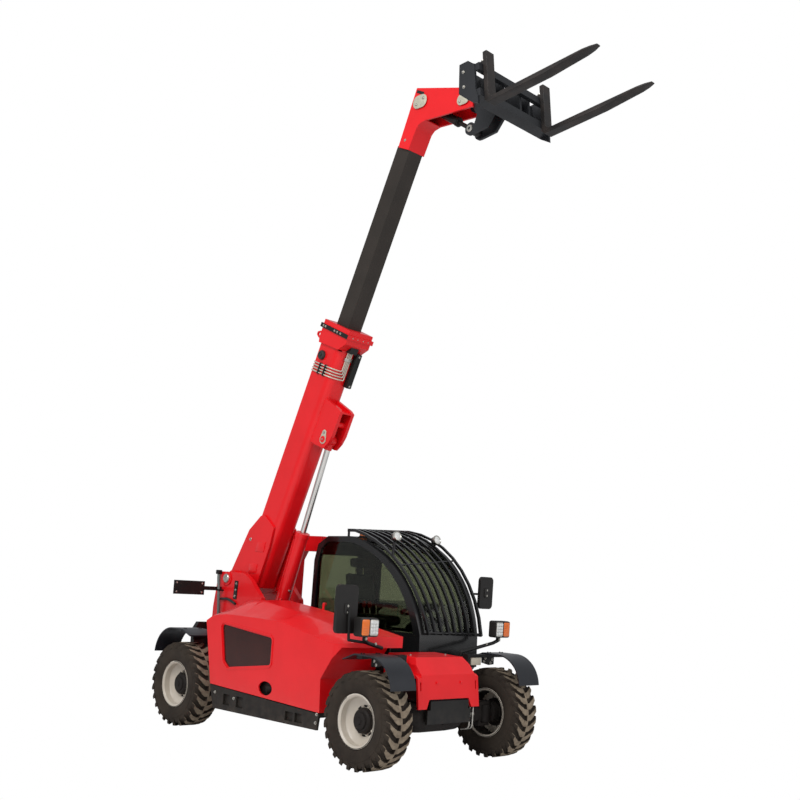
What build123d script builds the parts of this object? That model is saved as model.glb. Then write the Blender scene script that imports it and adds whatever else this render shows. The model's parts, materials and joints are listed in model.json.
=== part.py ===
# A compact telescopic handler: a four-wheel-steer chassis with the cab on the left, the engine on the right
# and a two-stage boom between them, shown raised and run out, with pallet forks on a tilting carriage.
# Millimetres. +X forward, +Y to the machine's left, +Z up. The origin is on the ground under the middle of
# the whole machine, forks included. Positions along x are given from the wheelbase's middle.
import os
from math import cos, hypot, radians, sin

from build123d import *

os.makedirs("parts", exist_ok=True)

# Driving dimensions
wheelbase = 2655
track = 1582
mid_x = -550

tyre_radius = 406
tyre_width = 297
bead_radius = 206
flange_radius = 222
kingpin_y = 640
hub_radius = 55
running_gap = 0.4

rail_y = (270, 300)
rail_top = 745
rail_low = 330
axle_rail_low = 545

pivot = (-1518, 1454)
boom_angle = 66.83
outer_half = 128
outer_top, outer_low = -10, -335
outer_end = 2880
lower_corner = 80
inner_half = 85
inner_top, inner_low = -105, -292
inner_tail = 2250
boom_wall = 10
pivot_pin = 45

lift_base = (-1061, 827)
lift_eye = (1780, -500)
lift_pin = 30

tilt_base = (717, 6081)
tilt_eye = (1360, 5670)
tilt_pin = 25
carriage_pin = (1285, 5955)
carriage_pin_radius = 30

fork_heel = (1860, 5640)
fork_angle = 7.9
fork_length = 1150
fork_width = 100
fork_y = 390

hood_wall = 14
hood_axis = (-290, 1290)
hood_hinges = (-600, 60)
door_axis = (-427, 850)
door_hinges = (980, 1560)


def side(y=0):
    """The side view at y, x forward and z up, with its normal to the right"""
    return Plane(origin=(mid_x, y, 0), x_dir=(1, 0, 0), z_dir=(0, -1, 0))


def across(x=0):
    """The front view at x, y to the left and z up, with its normal forward"""
    return Plane(origin=(mid_x + x, 0, 0), x_dir=(0, 1, 0), z_dir=(1, 0, 0))


def level(z=0):
    """The plan view at z"""
    return Plane(origin=(mid_x, 0, z))


def boom_side(y=0):
    """The boom's side view at y: along the boom from its pivot, and square to it towards its back"""
    along = (cos(radians(boom_angle)), 0, sin(radians(boom_angle)))
    return Plane(origin=(mid_x + pivot[0], y, pivot[1]), x_dir=along, z_dir=(0, -1, 0))


def boom_across(distance):
    """The boom's cross-section at a distance from its pivot, y to the left and the boom's back up"""
    along = Vector(cos(radians(boom_angle)), 0, sin(radians(boom_angle)))
    start = Vector(mid_x + pivot[0], 0, pivot[1]) + along * distance
    return Plane(origin=start, x_dir=(0, 1, 0), z_dir=along)


def fork_side(y=0):
    """The fork's side view at y: along the blade from its heel, and square to it along the shank"""
    along = (cos(radians(fork_angle)), 0, sin(radians(fork_angle)))
    return Plane(origin=(mid_x + fork_heel[0], y, fork_heel[1]), x_dir=along, z_dir=(0, -1, 0))


def shape(plane, points):
    """A face with straight edges"""
    with BuildSketch(plane) as sketch:
        with BuildLine():
            Polyline(*points, close=True)
        make_face()
    return sketch.sketch


def slab(plane, points, thickness, mode=Mode.ADD):
    """A flat piece of the part being built"""
    extrude(shape(plane, points), amount=thickness, mode=mode)


def block(x, y, z, mode=Mode.ADD):
    """A box between the two ends given on each axis"""
    with Locations((mid_x + sum(x) / 2, sum(y) / 2, sum(z) / 2)):
        Box(x[1] - x[0], y[1] - y[0], z[1] - z[0], mode=mode)


def bar(start, end, radius, mode=Mode.ADD):
    """A round bar between two points, x from the wheelbase's middle"""
    run = Vector(*end) - Vector(*start)
    first = Vector(*start) + Vector(mid_x, 0, 0)
    with BuildSketch(Plane(origin=first, z_dir=run)) as sketch:
        Circle(radius)
    extrude(sketch.sketch, amount=run.length, mode=mode)


def pin(point, y, radius, mode=Mode.ADD):
    """A bar across the machine at a side view's point, between the two ends given"""
    bar((point[0], y[0], point[1]), (point[0], y[1], point[1]), radius, mode)


def save(part, name):
    part.label = name
    export_step(part, f"parts/{name}.step")


def boom_point(distance, rise):
    """A side view's point from a place on the boom"""
    a = radians(boom_angle)
    x = pivot[0] + distance * cos(a) - rise * sin(a)
    return x, pivot[1] + distance * sin(a) + rise * cos(a)


# Wheels and steering: name, way from the middle along x, way along y
wheels = (
    ("front_right", 1, -1),
    ("front_left", 1, 1),
    ("rear_right", -1, -1),
    ("rear_left", -1, 1),
)


def wheel_plane(fore, out):
    """The wheel's half section: outboard from its middle, and out from its axle"""
    centre = (mid_x + fore * wheelbase / 2, out * track / 2, tyre_radius)
    return Plane(origin=centre, x_dir=(0, out, 0), z_dir=(out, 0, 0))


# The tyre's casing, flat-sided all round: distance out from its middle, radius
tyre_sides = 25
casing = ((-118, 226), (-148, 302), (-132, 378), (132, 378), (148, 302), (118, 226))
lug_count = 25
lug_lean = 0.5
lug_section = ((22, 352), (26, 404), (66, 400), (72, 352))
lug_limit = ((-12, 340), (-12, 440), (106, 440), (106, tyre_radius - 2), (148, 345))

with BuildPart() as tyre:
    rings = []
    for out, radius in casing:
        with BuildSketch(Plane(origin=(0, out, 0), x_dir=(1, 0, 0), z_dir=(0, 1, 0))) as ring:
            RegularPolygon(radius, tyre_sides)
        rings.append(ring.sketch)
    loft(rings, ruled=True)
    # A row of lugs on each side, the second half a pitch on, that lean back from the middle to the shoulder
    for way, start in ((-1, 0), (1, 0.5)):
        with BuildPart(mode=Mode.PRIVATE) as lug:
            inner_end = Plane(origin=(0, -way * 12, 0), x_dir=(1, 0, 0), z_dir=(0, -1, 0))
            extrude(shape(inner_end, lug_section), amount=190, dir=(-lug_lean, way, 0))
            cross_view = Plane(origin=(-200, 0, 0), x_dir=(0, way, 0), z_dir=(way, 0, 0))
            extrude(shape(cross_view, lug_limit), amount=400 * way, mode=Mode.INTERSECT)
        add([lug.part.rotate(Axis.Y, 360 / lug_count * (k + start)) for k in range(lug_count)])
    with BuildSketch(Plane(origin=(0, -150, 0), x_dir=(1, 0, 0), z_dir=(0, 1, 0))) as bore:
        RegularPolygon(bead_radius, tyre_sides, major_radius=False)
    extrude(bore.sketch, amount=300, mode=Mode.SUBTRACT)

for name, fore, out in wheels:
    plane = wheel_plane(fore, out)
    axle = Axis(plane.origin, (0, out, 0))
    save(tyre.part.moved(Location(plane.origin)), f"tyre_{name}")

    seat = bead_radius - running_gap
    dish = [(-132, 212), (-132, flange_radius), (-124, flange_radius), (-121, seat), (121, seat)]
    dish += [(124, flange_radius), (132, flange_radius), (132, 212), (118, 196), (62, 196), (48, 182)]
    dish += [(26, 128), (26, 108), (62, 100), (76, 86), (76, 0), (62, 0), (62, hub_radius + running_gap)]
    dish += [(-32, hub_radius + running_gap), (-32, 96), (12, 96), (12, 128), (36, 186), (8, 196), (-118, 196)]
    with BuildPart() as rim:
        with BuildSketch(plane):
            with BuildLine():
                Polyline(*dish, close=True)
            make_face()
        revolve(axis=axle)
    save(rim.part, f"rim_{name}")

    # The knuckle swings on two kingpin stubs and carries the wheel on its spindle.
    king_x = fore * wheelbase / 2
    king_y = out * kingpin_y
    with BuildPart() as knuckle:
        bar((king_x, king_y, tyre_radius - 77), (king_x, king_y, tyre_radius + 77), 62)
        bar((king_x, king_y, tyre_radius), (king_x, out * (track / 2 + 55), tyre_radius), hub_radius)
        bar((king_x, out * (track / 2 - 96), tyre_radius), (king_x, out * (track / 2 - 40), tyre_radius), 92)
        slab(
            level(tyre_radius - 70),
            [
                (king_x - fore * 20, out * (kingpin_y + 30)),
                (king_x - fore * 20, out * (kingpin_y - 30)),
                (king_x - fore * 185, out * (kingpin_y - 75)),
                (king_x - fore * 185, out * (kingpin_y - 35)),
            ],
            28,
        )
        bar((king_x, king_y, tyre_radius - 78), (king_x, king_y, tyre_radius + 78), 20.4, Mode.SUBTRACT)
    save(knuckle.part, f"knuckle_{name}")

# Axle beams: a housing round the differential, tapering to a yoke at each kingpin, and a steering cylinder
steer_back, steer_z = 186, 322
for name, fore in (("front_axle", 1), ("rear_axle", -1)):
    axle_x = fore * wheelbase / 2
    beam = [(-535, 0), (-535, 74), (-380, 80), (-310, 125), (-200, 131), (110, 131), (220, 125), (290, 80)]
    beam += [(535, 74), (535, 0)]
    with BuildPart() as housing:
        with BuildSketch(Plane(origin=(mid_x + axle_x, 0, tyre_radius), x_dir=(0, 1, 0), z_dir=(1, 0, 0))):
            with BuildLine():
                Polyline(*beam, close=True)
            make_face()
        revolve(axis=Axis((mid_x + axle_x, 0, tyre_radius), (0, 1, 0)))
        bar((axle_x - 150, 0, tyre_radius), (axle_x + 150, 0, tyre_radius), 62)
        steer_x = axle_x - fore * steer_back
        bar((steer_x, -300, steer_z), (steer_x, 300, steer_z), 29)
        bar((steer_x, -430, steer_z), (steer_x, 430, steer_z), 14)
        for out in (-1, 1):
            block(sorted((steer_x, axle_x - fore * 80)), sorted((out * 180, out * 206)), (steer_z - 22, steer_z + 22))
            with Locations((mid_x + steer_x, out * 430, steer_z)):
                Sphere(22)
            block((axle_x - 55, axle_x + 55), sorted((out * 520, out * 548)), (tyre_radius - 108, tyre_radius + 108))
            for up in (-1, 1):
                low, high = sorted((tyre_radius + up * 80, tyre_radius + up * 108))
                block((axle_x - 55, axle_x + 55), sorted((out * 530, out * kingpin_y)), (low, high))
                bar((axle_x, out * kingpin_y, low), (axle_x, out * kingpin_y, high), 55)
                near, far = sorted((tyre_radius + up * 36, tyre_radius + up * 116))
                bar((axle_x, out * kingpin_y, near), (axle_x, out * kingpin_y, far), 20)
    save(housing.part, name)

# Chassis: two rails, a belly plate, cross plates at the axles and outriggers under the engine
rail = [(-1800, 560), (-1800, rail_top), (1435, rail_top), (1435, 566), (1464, 566), (1464, axle_rail_low)]
rail += [(960, axle_rail_low), (850, rail_low), (-850, rail_low), (-960, axle_rail_low), (-1790, axle_rail_low)]
with BuildPart() as frame:
    for y in (rail_y[1], -rail_y[0]):
        slab(side(y), rail, rail_y[1] - rail_y[0])
    block((-850, 850), (-rail_y[0], rail_y[0]), (rail_low, rail_low + 16))
    for x in (-1502, -1177, 1153):
        block((x, x + 24), (-rail_y[0], rail_y[0]), (tyre_radius - 40, 568))
    front_plate = [(270, 366), (270, 484), (236, 484), (236, 560), (-236, 560), (-236, 484), (-270, 484), (-270, 366)]
    slab(across(1502), front_plate, -24)
    block((1440, 1464), (-rail_y[0], rail_y[0]), (axle_rail_low - 5, 566))
    block((1460, 1480), (-236, 236), (axle_rail_low - 5, 560))
    block((1400, 1435), (-rail_y[0], rail_y[0]), (600, rail_top))
    slab(side(-rail_y[0]), [(-780, rail_top), (-780, 1180), (300, 1180), (1000, 1030), (1000, rail_top)], 12)
    for x in hood_hinges:
        block((x, x + 12), (-rail_y[0] - 12, -rail_y[0]), (1100, hood_axis[1] + 12))
        bar((x, *hood_axis), (x + 42, *hood_axis), 6)
        block((x, x + 12), (hood_axis[0] - 10, -rail_y[0]), (hood_axis[1] - 12, hood_axis[1] + 12))
    block((-1800, -1780), (-rail_y[0], rail_y[0]), (560, rail_top))
    for x in (-640, 560):
        block((x, x + 80), (-858, -rail_y[1]), (rail_low, rail_low + 38))
        block((x, x + 80), (rail_y[1], 700), (rail_low, rail_low + 38))
    for name, fore, out in wheels:
        x = sorted((fore * 1262, fore * 1326))
        block(x, sorted((out * 300, out * 420)), (640, 700))
        block(x, sorted((out * 386, out * 420)), (640, 933))
        block(x, sorted((out * 386, out * 900)), (905, 933))
    for out in (-1, 1):
        block((1170, 1230), sorted((out * 300, out * 418)), (690, rail_top))
save(frame.part, "chassis_frame")

# Tower: two plates inside the rails that carry the boom's pivot pin and the lift cylinder's foot
tower_in, tower_out = 220, 270
tower_side = [(-1750, 570), (-1737, 1157), (-1685, 1488), (-1620, 1522), (-1240, 1522), (-1125, 1462)]
tower_side += [(-920, 1284), (-860, 1000), (-840, 570)]
with BuildPart() as tower:
    for y in (tower_out, -tower_in):
        slab(side(y), tower_side, tower_out - tower_in)
    block((-1600, -900), (-tower_in, tower_in), (570, 600))
    block((-1600, -1560), (-tower_in, tower_in), (570, 1000))
    for y in (75, -45):
        slab(side(y), [(-1180, 590), (-1120, 860), (-1010, 860), (-940, 590)], 30)
        pin(lift_base, (y - 30, y), 70)
    pin(lift_base, (-76, 76), lift_pin)
    pin(pivot, (-tower_out - 12, tower_out + 12), pivot_pin)
    for out in (-1, 1):
        pin(pivot, sorted((out * tower_out, out * (tower_out + 12))), 70)
save(tower.part, "boom_tower")

# Outer boom: a box with large lower corners, base cheeks round the pivot, the collar and the cylinder's lug
with BuildPart() as outer_boom:
    with BuildSketch(boom_across(60)):
        with Locations((0, (outer_top + outer_low) / 2)):
            Rectangle(2 * outer_half, outer_top - outer_low)
    extrude(amount=outer_end - 60)
    long_edges = outer_boom.edges().filter_by(lambda e: abs(e.length - (outer_end - 60)) < 1)
    across_boom = boom_side().y_dir
    fillet(long_edges.sort_by(lambda e: e.center().dot(across_boom))[:2], lower_corner)
    long_edges = outer_boom.edges().filter_by(lambda e: abs(e.length - (outer_end - 60)) < 1)
    fillet(long_edges.sort_by(lambda e: e.center().dot(across_boom))[-2:], 18)
    collar = [(2690, 8), (outer_end, 8), (outer_end, -415), (2740, -415), (2660, outer_low), (2640, outer_top)]
    slab(boom_side(152), collar, 304)
    slab(boom_side(168), [(2792, 30), (2836, 30), (2836, -432), (2792, -432)], 336)
    cheek = [(735, -30), (530, 76), (30, 140), (-95, 112), (-140, 10), (-105, -125), (30, -330)]
    cheek += [(515, outer_low + 13), (720, -290), (772, -80)]
    for y in (outer_half + 20, -outer_half):
        slab(boom_side(y), cheek, 20)
    bridge = [(700, outer_top), (530, 76), (30, 140), (30, 126), (525, 62), (670, -20)]
    slab(boom_side(outer_half), bridge, 2 * outer_half)
    pin(pivot, (-tower_in + 5, tower_in - 5), 88)
    for y in (126, -110):
        slab(boom_side(y), [(2664, -16), (2676, 56), (2696, 92), (2726, 92), (2746, 56), (2752, 0)], 16)
        pin(boom_point(2711, 56), (y - 16, y), 17, Mode.SUBTRACT)
    with BuildSketch(boom_across(75)):
        with Locations((0, (outer_top + outer_low) / 2)):
            Rectangle(2 * (outer_half - boom_wall), outer_top - outer_low - 2 * boom_wall)
    extrude(amount=outer_end - 20 - 75, mode=Mode.SUBTRACT)
    with BuildSketch(boom_across(outer_end - 30)):
        with Locations((0, (inner_top + inner_low) / 2)):
            Rectangle(2 * inner_half + 12, inner_top - inner_low + 12)
    extrude(amount=40, mode=Mode.SUBTRACT)
    pin(pivot, (-tower_in, tower_in), pivot_pin + running_gap, Mode.SUBTRACT)
    lug = [(1690, -300), (1690, -420), (1700, -545), (1780, -590), (1870, -610), (2110, -610), (2130, -560), (2160, -300)]
    for y in (92, -56):
        slab(boom_side(y), lug, 36)
    for y in ((46, 102), (-102, -46)):
        pin(boom_point(*lift_eye), y, 34)
    slab(boom_side(56), [(2080, -330), (2110, -610), (2094, -612), (2060, -330)], 112)
    pin(boom_point(1965, -545), (-60, 60), 30)
save(outer_boom.part, "boom_outer")

# Inner boom and its gooseneck head, which carries the tilt cylinder between its cheeks
head_half = 105
head_wall = 20
with BuildPart() as inner_boom:
    with BuildSketch(boom_across(inner_tail)):
        with Locations((0, (inner_top + inner_low) / 2)):
            Rectangle(2 * inner_half, inner_top - inner_low)
            Rectangle(2 * inner_half - 20, inner_top - inner_low - 20, mode=Mode.SUBTRACT)
    extrude(amount=4690 - inner_tail)
    head = [(448, 5699), (652, 6235), (1204, 6089), (1362, 6047), (1384, 5990), (1402, 5859), (797, 5883)]
    head += [(721, 5866), (681, 5829), (593, 5639)]
    for y in (head_half, -head_half + head_wall):
        slab(side(y), head, head_wall)
    between = head_half - head_wall
    back = [(448, 5699), (652, 6235), (1190, 6093), (1187, 6081), (661, 6220), (466, 5707)]
    slab(side(between), back, 2 * between)
    throat = [(593, 5639), (681, 5829), (721, 5866), (797, 5883), (797, 5895), (716, 5878), (671, 5837), (575, 5647)]
    slab(side(between), throat, 2 * between)
    slab(side(between), [(448, 5699), (593, 5639), (599, 5655), (454, 5715)], 2 * between)
    pin(tilt_base, (-head_half - 8, head_half + 8), tilt_pin)
    for out in (-1, 1):
        pin(carriage_pin, sorted((out * 48, out * (head_half + 8))), carriage_pin_radius)
        pin(tilt_base, sorted((out * head_half, out * (head_half + 8))), 48)
        pin(carriage_pin, sorted((out * head_half, out * (head_half + 8))), 40)
save(inner_boom.part, "boom_inner")

# Lift cylinder
lift_run = (boom_point(*lift_eye)[0] - lift_base[0], boom_point(*lift_eye)[1] - lift_base[1])
lift_length = hypot(*lift_run)


def along_lift(distance):
    share = distance / lift_length
    return lift_base[0] + share * lift_run[0], 0, lift_base[1] + share * lift_run[1]


with BuildPart() as lift_barrel:
    pin(lift_base, (-35, 35), 60)
    bar(along_lift(40), along_lift(105), 38)
    bar(along_lift(95), along_lift(1200), 65)
    bar(along_lift(1150), along_lift(1200), 72)
    bar(along_lift(145), along_lift(1140), 52, Mode.SUBTRACT)
    bar(along_lift(1130), along_lift(1210), 29.4, Mode.SUBTRACT)
    pin(lift_base, (-40, 40), lift_pin + running_gap, Mode.SUBTRACT)
save(lift_barrel.part, "lift_barrel")

with BuildPart() as lift_rod:
    bar(along_lift(1060), along_lift(lift_length - 40), 29)
    bar(along_lift(1034), along_lift(1070), 51.6)
    bar(along_lift(lift_length - 98), along_lift(lift_length - 40), 40)
    pin(boom_point(*lift_eye), (-32, 32), 58)
    pin(boom_point(*lift_eye), (-40, 40), lift_pin + 2, Mode.SUBTRACT)
save(lift_rod.part, "lift_rod")

# Tilt cylinder
tilt_run = (tilt_eye[0] - tilt_base[0], tilt_eye[1] - tilt_base[1])
tilt_length = hypot(*tilt_run)


def along_tilt(distance):
    share = distance / tilt_length
    return tilt_base[0] + share * tilt_run[0], 0, tilt_base[1] + share * tilt_run[1]


with BuildPart() as tilt_barrel:
    pin(tilt_base, (-35, 35), 44)
    bar(along_tilt(20), along_tilt(500), 40)
    bar(along_tilt(470), along_tilt(505), 44)
    bar(along_tilt(95), along_tilt(460), 31, Mode.SUBTRACT)
    bar(along_tilt(450), along_tilt(510), 20.4, Mode.SUBTRACT)
    pin(tilt_base, (-40, 40), tilt_pin + running_gap, Mode.SUBTRACT)
save(tilt_barrel.part, "tilt_barrel")

with BuildPart() as tilt_rod:
    bar(along_tilt(280), along_tilt(tilt_length - 30), 20)
    bar(along_tilt(272), along_tilt(290), 30.6)
    pin(tilt_eye, (-30, 30), 42)
    pin(tilt_eye, (-40, 40), tilt_pin, Mode.SUBTRACT)
save(tilt_rod.part, "tilt_rod")

# Fork carriage: hinge lugs, end plates and the two bars that the forks hang on
fork_back = -0.5
upper_bar = [(-46, 300), (fork_back, 300), (fork_back, 366), (-46, 366)]
lower_bar = [(-132, 60), (fork_back, 60), (fork_back, 128), (-132, 128)]
with BuildPart() as carriage:
    plate = [(-216, 426), (-116, 422), (-58, 371), (-46, 366), (-46, 130), (-24, 60), (-24, -14), (-132, 60), (-237, 159)]
    for y in (500, -475):
        slab(fork_side(y), plate, 25)
    for y in (250, -225, 128, -103):
        slab(fork_side(y), [(-190, 150), (-190, 385), (-80, 372), (-80, 335), (-46, 335), (-46, 128), (-132, 128)], 25)
    slab(fork_side(490), upper_bar, 980)
    slab(fork_side(490), lower_bar, 980)
    slab(fork_side(480), [(-206, 150), (-206, 400), (-190, 400), (-190, 150)], 960)
    for y in (80, -50):
        slab(fork_side(y), [(-206, 400), (-206, 130), (-300, 40), (-480, 38), (-400, 200), (-460, 320), (-490, 450)], 30)
        pin(carriage_pin, (y - 30, y), 62)
        pin(tilt_eye, (y - 30, y), 58)
    for out in (-1, 1):
        pin(carriage_pin, sorted((out * 47, out * 82)), carriage_pin_radius + running_gap, Mode.SUBTRACT)
        pin(tilt_eye, sorted((out * 44, out * 88)), 26)
save(carriage.part, "fork_carriage")

# Forks: tapered blades on hooked shanks
blade = [(0, 30), (30, 0), (650, 0), (fork_length, 32), (fork_length, 42), (75, 42), (45, 72), (45, 480), (0, 480)]
for name, y in (("fork_right", -fork_y), ("fork_left", fork_y)):
    with BuildPart() as fork:
        slab(fork_side(y + fork_width / 2), blade, fork_width)
        slab(fork_side(y + fork_width / 2), [(0, 366.5), (0, 400), (-70, 400), (-70, 345), (-46.5, 345), (-46.5, 366.5)], fork_width)
    save(fork.part, name)

# Engine cover on the right: a crowned shell, cut back round the front wheel, with a window
# x, height of the side's crease, of the shoulder and of the inner edge
hood_sections = (
    (-960, 1040, 1062, 1068),
    (-830, 1108, 1190, 1196),
    (-620, 1134, 1270, 1282),
    (-420, 1134, 1283, 1290),
    (180, 1128, 1205, 1228),
    (700, 1036, 1128, 1150),
    (1180, 950, 1074, 1076),
)
hood_out, hood_shoulder, hood_in = -880, -620, -304
crease_radius = 64


def hood_volume(wall):
    """The cover's outline drawn in by a wall's thickness, open below and on its inner side"""
    open_by = 40 if wall else 0
    with BuildPart() as volume:
        faces = []
        for x, crease, shoulder, inner in hood_sections:
            outline = [(hood_out + wall, 350 - open_by), (hood_out + wall, crease - wall * 0.6)]
            outline += [(hood_shoulder, shoulder - wall), (hood_in + open_by, inner - wall)]
            outline += [(hood_in + open_by, 350 - open_by)]
            with BuildSketch(across(x)) as section:
                with BuildLine():
                    Polyline(*outline, close=True)
                make_face()
                edge = section.vertices().sort_by(Axis.Y)
                fillet([v for v in edge[:2] if v.Z > 700], crease_radius - wall)
            faces.append(section.sketch)
        loft(faces, ruled=True)
        w = wall
        rear = [(-1000, 200), (-790 + w, 200), (-790 + w, 468), (-940 + w, 1070), (-900 + w, 1400), (-1000, 1400)]
        slab(side(0), rear, 1000, Mode.SUBTRACT)
        arch = [(820 - w, 200), (820 - w, 404), (803 - w, 687), (1000 - w * 0.5, 968 + w * 0.8), (1260, 985 + w)]
        arch += [(1260, 200)]
        slab(side(0), arch, 1000, Mode.SUBTRACT)
        slab(side(0), [(-1000, 100), (1300, 100), (1300, 384 - w), (-790, 470 - w)], 1000, Mode.SUBTRACT)
        nose = [(930 - w, -1000), (930 - w, -880 + w), (1060 - w, -800 + w), (1180 - w, -600 + w), (1180 - w, 0)]
        nose += [(1300, 0), (1300, -1000)]
        slab(level(0), nose, 1500, Mode.SUBTRACT)
    return volume.part


window = [(-675, 1040), (95, 970), (98, 730), (-530, 650), (-600, 700)]


def window_face(y, margin):
    """The window's outline with round corners, drawn out by a margin"""
    with BuildSketch(side(y)) as sketch:
        with BuildLine():
            Polyline(*window, close=True)
        make_face()
        fillet(sketch.vertices(), 30)
        if margin:
            offset(amount=margin)
    return sketch.sketch


with BuildPart() as hood:
    add(hood_volume(0))
    add(hood_volume(hood_wall), mode=Mode.SUBTRACT)
    extrude(window_face(hood_out + 1, 26), amount=7)
    extrude(window_face(hood_out + 3, 12), amount=12, mode=Mode.SUBTRACT)
    extrude(window_face(hood_out + 40, 0), amount=60, mode=Mode.SUBTRACT)
    with BuildSketch(side(hood_out + 20)):
        with Locations((56, 521)):
            Ellipse(98, 62)
    extrude(amount=30, mode=Mode.SUBTRACT)
    for x, top in zip(hood_hinges, (1278, 1238)):
        bar((x + 13, *hood_axis), (x + 40, *hood_axis), 12)
        block((x + 13, x + 40), (-318, hood_axis[0] - 8), (top - 18, top - 4))
        block((x + 13, x + 40), (hood_axis[0] - 14, hood_axis[0] - 8), (top - 18, hood_axis[1]))
        bar((x + 12, *hood_axis), (x + 41, *hood_axis), 6 + running_gap, Mode.SUBTRACT)
save(hood.part, "engine_hood")
with BuildPart() as hood_window:
    extrude(window_face(hood_out + hood_wall + 6, 8), amount=6)
save(hood_window.part, "hood_window")

# Middle along x, low edge, high edge
skirt_slots = ((-513, 302, 400), (-308, 302, 400), (417, 284, 362), (551, 286, 364))
with BuildPart() as skirt:
    slab(side(-858), [(-790, 463), (818, 394), (800, 256), (-720, 250)], 22)
    for x, low, high in skirt_slots:
        block((x - 52, x + 52), (-882, -856), (low, high), Mode.SUBTRACT)
save(skirt.part, "side_skirt")

with BuildPart() as engine:
    block((-560, 420), (-760, -330), (rail_low + 38, 930))
    block((-400, 200), (-700, -380), (930, 990))
save(engine.part, "engine_block")

with BuildPart() as locker:
    block((-720, 770), (302, 850), (rail_low + 38, rail_top - 3))
    block((120, 620), (700, 860), (480, rail_top), Mode.SUBTRACT)
    for x in (-640, 560):
        block((x - 2, x + 82), (300, 702), (rail_low, rail_low + 38), Mode.SUBTRACT)
save(locker.part, "fuel_tank")

# Front cover between the wheels
with BuildPart() as bonnet:
    top = [(1000, 747), (1000, 925), (1340, 915), (1465, 777), (1500, 495), (1478, 495), (1448, 748)]
    slab(side(335), top, 670)
    flare = [(1120, 747), (1120, 790), (1440, 775), (1465, 757), (1500, 495), (1478, 495), (1448, 748)]
    slab(side(380), flare, 760)
    for out in (-1, 1):
        corner = [(out * 262, 960), (out * 345, 960), (out * 345, 842)]
        slab(across(1600), corner if out > 0 else corner[::-1], -700, Mode.SUBTRACT)
        block((1440, 1530), sorted((out * 338, out * 352)), (645, 718), Mode.SUBTRACT)
    slab(across(1530), [(-288, 480), (288, 480), (246, 572), (-246, 572)], -130, Mode.SUBTRACT)
save(bonnet.part, "bonnet")

# Fenders: a flat crown over each wheel and a long bend down past it
with BuildPart() as fenders:
    for name, fore, out in wheels:
        tip, crown_in, crown_out = (fore * 1120, 893), (fore * 1260, 945), (fore * 1450, 945)
        with BuildSketch(side(930 if out > 0 else -650)):
            with BuildLine():
                Polyline(tip, crown_in, crown_out)
                ThreePointArc(crown_out, (fore * 1640, 868), (fore * 1726, 690))
                Line((fore * 1726, 690), (fore * 1714, 690))
                ThreePointArc((fore * 1714, 690), (fore * 1630, 861), (fore * 1448, 933))
                Polyline((fore * 1448, 933), (fore * 1262, 933), (fore * 1122, 881), tip)
            make_face()
        extrude(amount=280)
save(fenders.part, "fenders")

# Lamp arms, lamps and mirrors
with BuildPart() as lamp_arms:
    for out in (-1, 1):
        knees = ((1200, 400, 752), (1212, 420, 945), (1235, 600, 985), (1262, 790, 1030), (1280, 840, 1056))
        block((1182, 1218), sorted((out * 382, out * 418)), (745, 760))
        for start, end in zip(knees, knees[1:]):
            bar((start[0], out * start[1], start[2]), (end[0], out * end[1], end[2]), 16)
            with Locations((mid_x + end[0], out * end[1], end[2])):
                Sphere(16)
        block((1265, 1295), sorted((out * 825, out * 855)), (1050, 1084))
    bar((1262, -790, 1030), (1215, -960, 1050), 12)
    bar((1215, -960, 1050), (1205, -970, 1300), 12)
    with Locations((mid_x + 1215, -960, 1050)):
        Sphere(12)
save(lamp_arms.part, "lamp_arms")

with BuildPart() as lamps:
    for out in (-1, 1):
        block((1240, 1330), sorted((out * 740, out * 940)), (1084, 1239))
    fillet(lamps.edges().filter_by(Axis.X), 20)
    for out in (-1, 1):
        block((-1890, -1860), sorted((out * 290, out * 400)), (800, 860))
save(lamps.part, "drive_lamps")

with BuildPart() as mirrors:
    block((1160, 1193), (-1115, -843), (1100, 1500))
    block((908, 941), (930, 1115), (1330, 1640))
    fillet(mirrors.edges().filter_by(Axis.X), 42)
    bar((900, 840, 1470), (900, 1040, 1470), 10)
save(mirrors.part, "mirrors")

# Cab: a rounded box on the left rail, its front and roof one sweep, wider ahead on the outer side
# y, front of the sill, middle of the sweep along x and z, roof
cab_sides = ((195, 885, 480, 1665, 1957), (840, 1020, 650, 1745, 1985))
cab_rear = -700
cab_floor = rail_top


def cab_side(row, inset):
    """One side of the cab, drawn in all round"""
    y, front, bend_x, bend_z, roof = row
    y += inset if y < 500 else -inset
    rear, low = cab_rear + inset, cab_floor + inset
    top, nose = roof - inset, front - inset
    with BuildSketch(side(y)) as sketch:
        with BuildLine():
            Polyline((nose + 12, low), (rear, low), (rear, 1700), (rear + 45, top - 90), (rear + 190, top - 6))
            Line((rear + 190, top - 6), (-180, top))
            ThreePointArc((-180, top), (bend_x - 0.7 * inset, bend_z - 0.7 * inset), (nose, 1070))
            Line((nose, 1070), (nose + 12, low))
        make_face()
    return sketch.sketch


def cab_volume(inset):
    with BuildPart() as volume:
        loft([cab_side(row, inset) for row in cab_sides], ruled=True)
    return volume.part


cab_wall = 30
screen_cut = [(-40, 1640), (120, 2100), (1300, 2100), (1300, 1110), (700, 1110)]
right_light = [(-640, 1075), (-640, 1690), (-598, 1830), (-500, 1895), (-185, 1900)]
door_hole = [(560, 800), (-430, 800), (-430, 1905), (-180, 1922)]
door_gap = 5


def door_outline(inset, y):
    with BuildSketch(side(y)) as sketch:
        with BuildLine():
            start, top = (-430 + inset, 800 + inset), 1915 - inset
            Polyline((925 - inset, 800 + inset), start, (-430 + inset, top), (-170, top))
            ThreePointArc((-170, top), (595 - 0.7 * inset, 1705 - 0.7 * inset), (925 - inset, 1075))
            Line((925 - inset, 1075), (925 - inset, 800 + inset))
        make_face()
    return sketch.sketch


def screen_region(inset):
    with BuildPart() as region:
        slab(side(790 - inset), screen_cut, 540 - 2 * inset)
    return region.part


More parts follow.
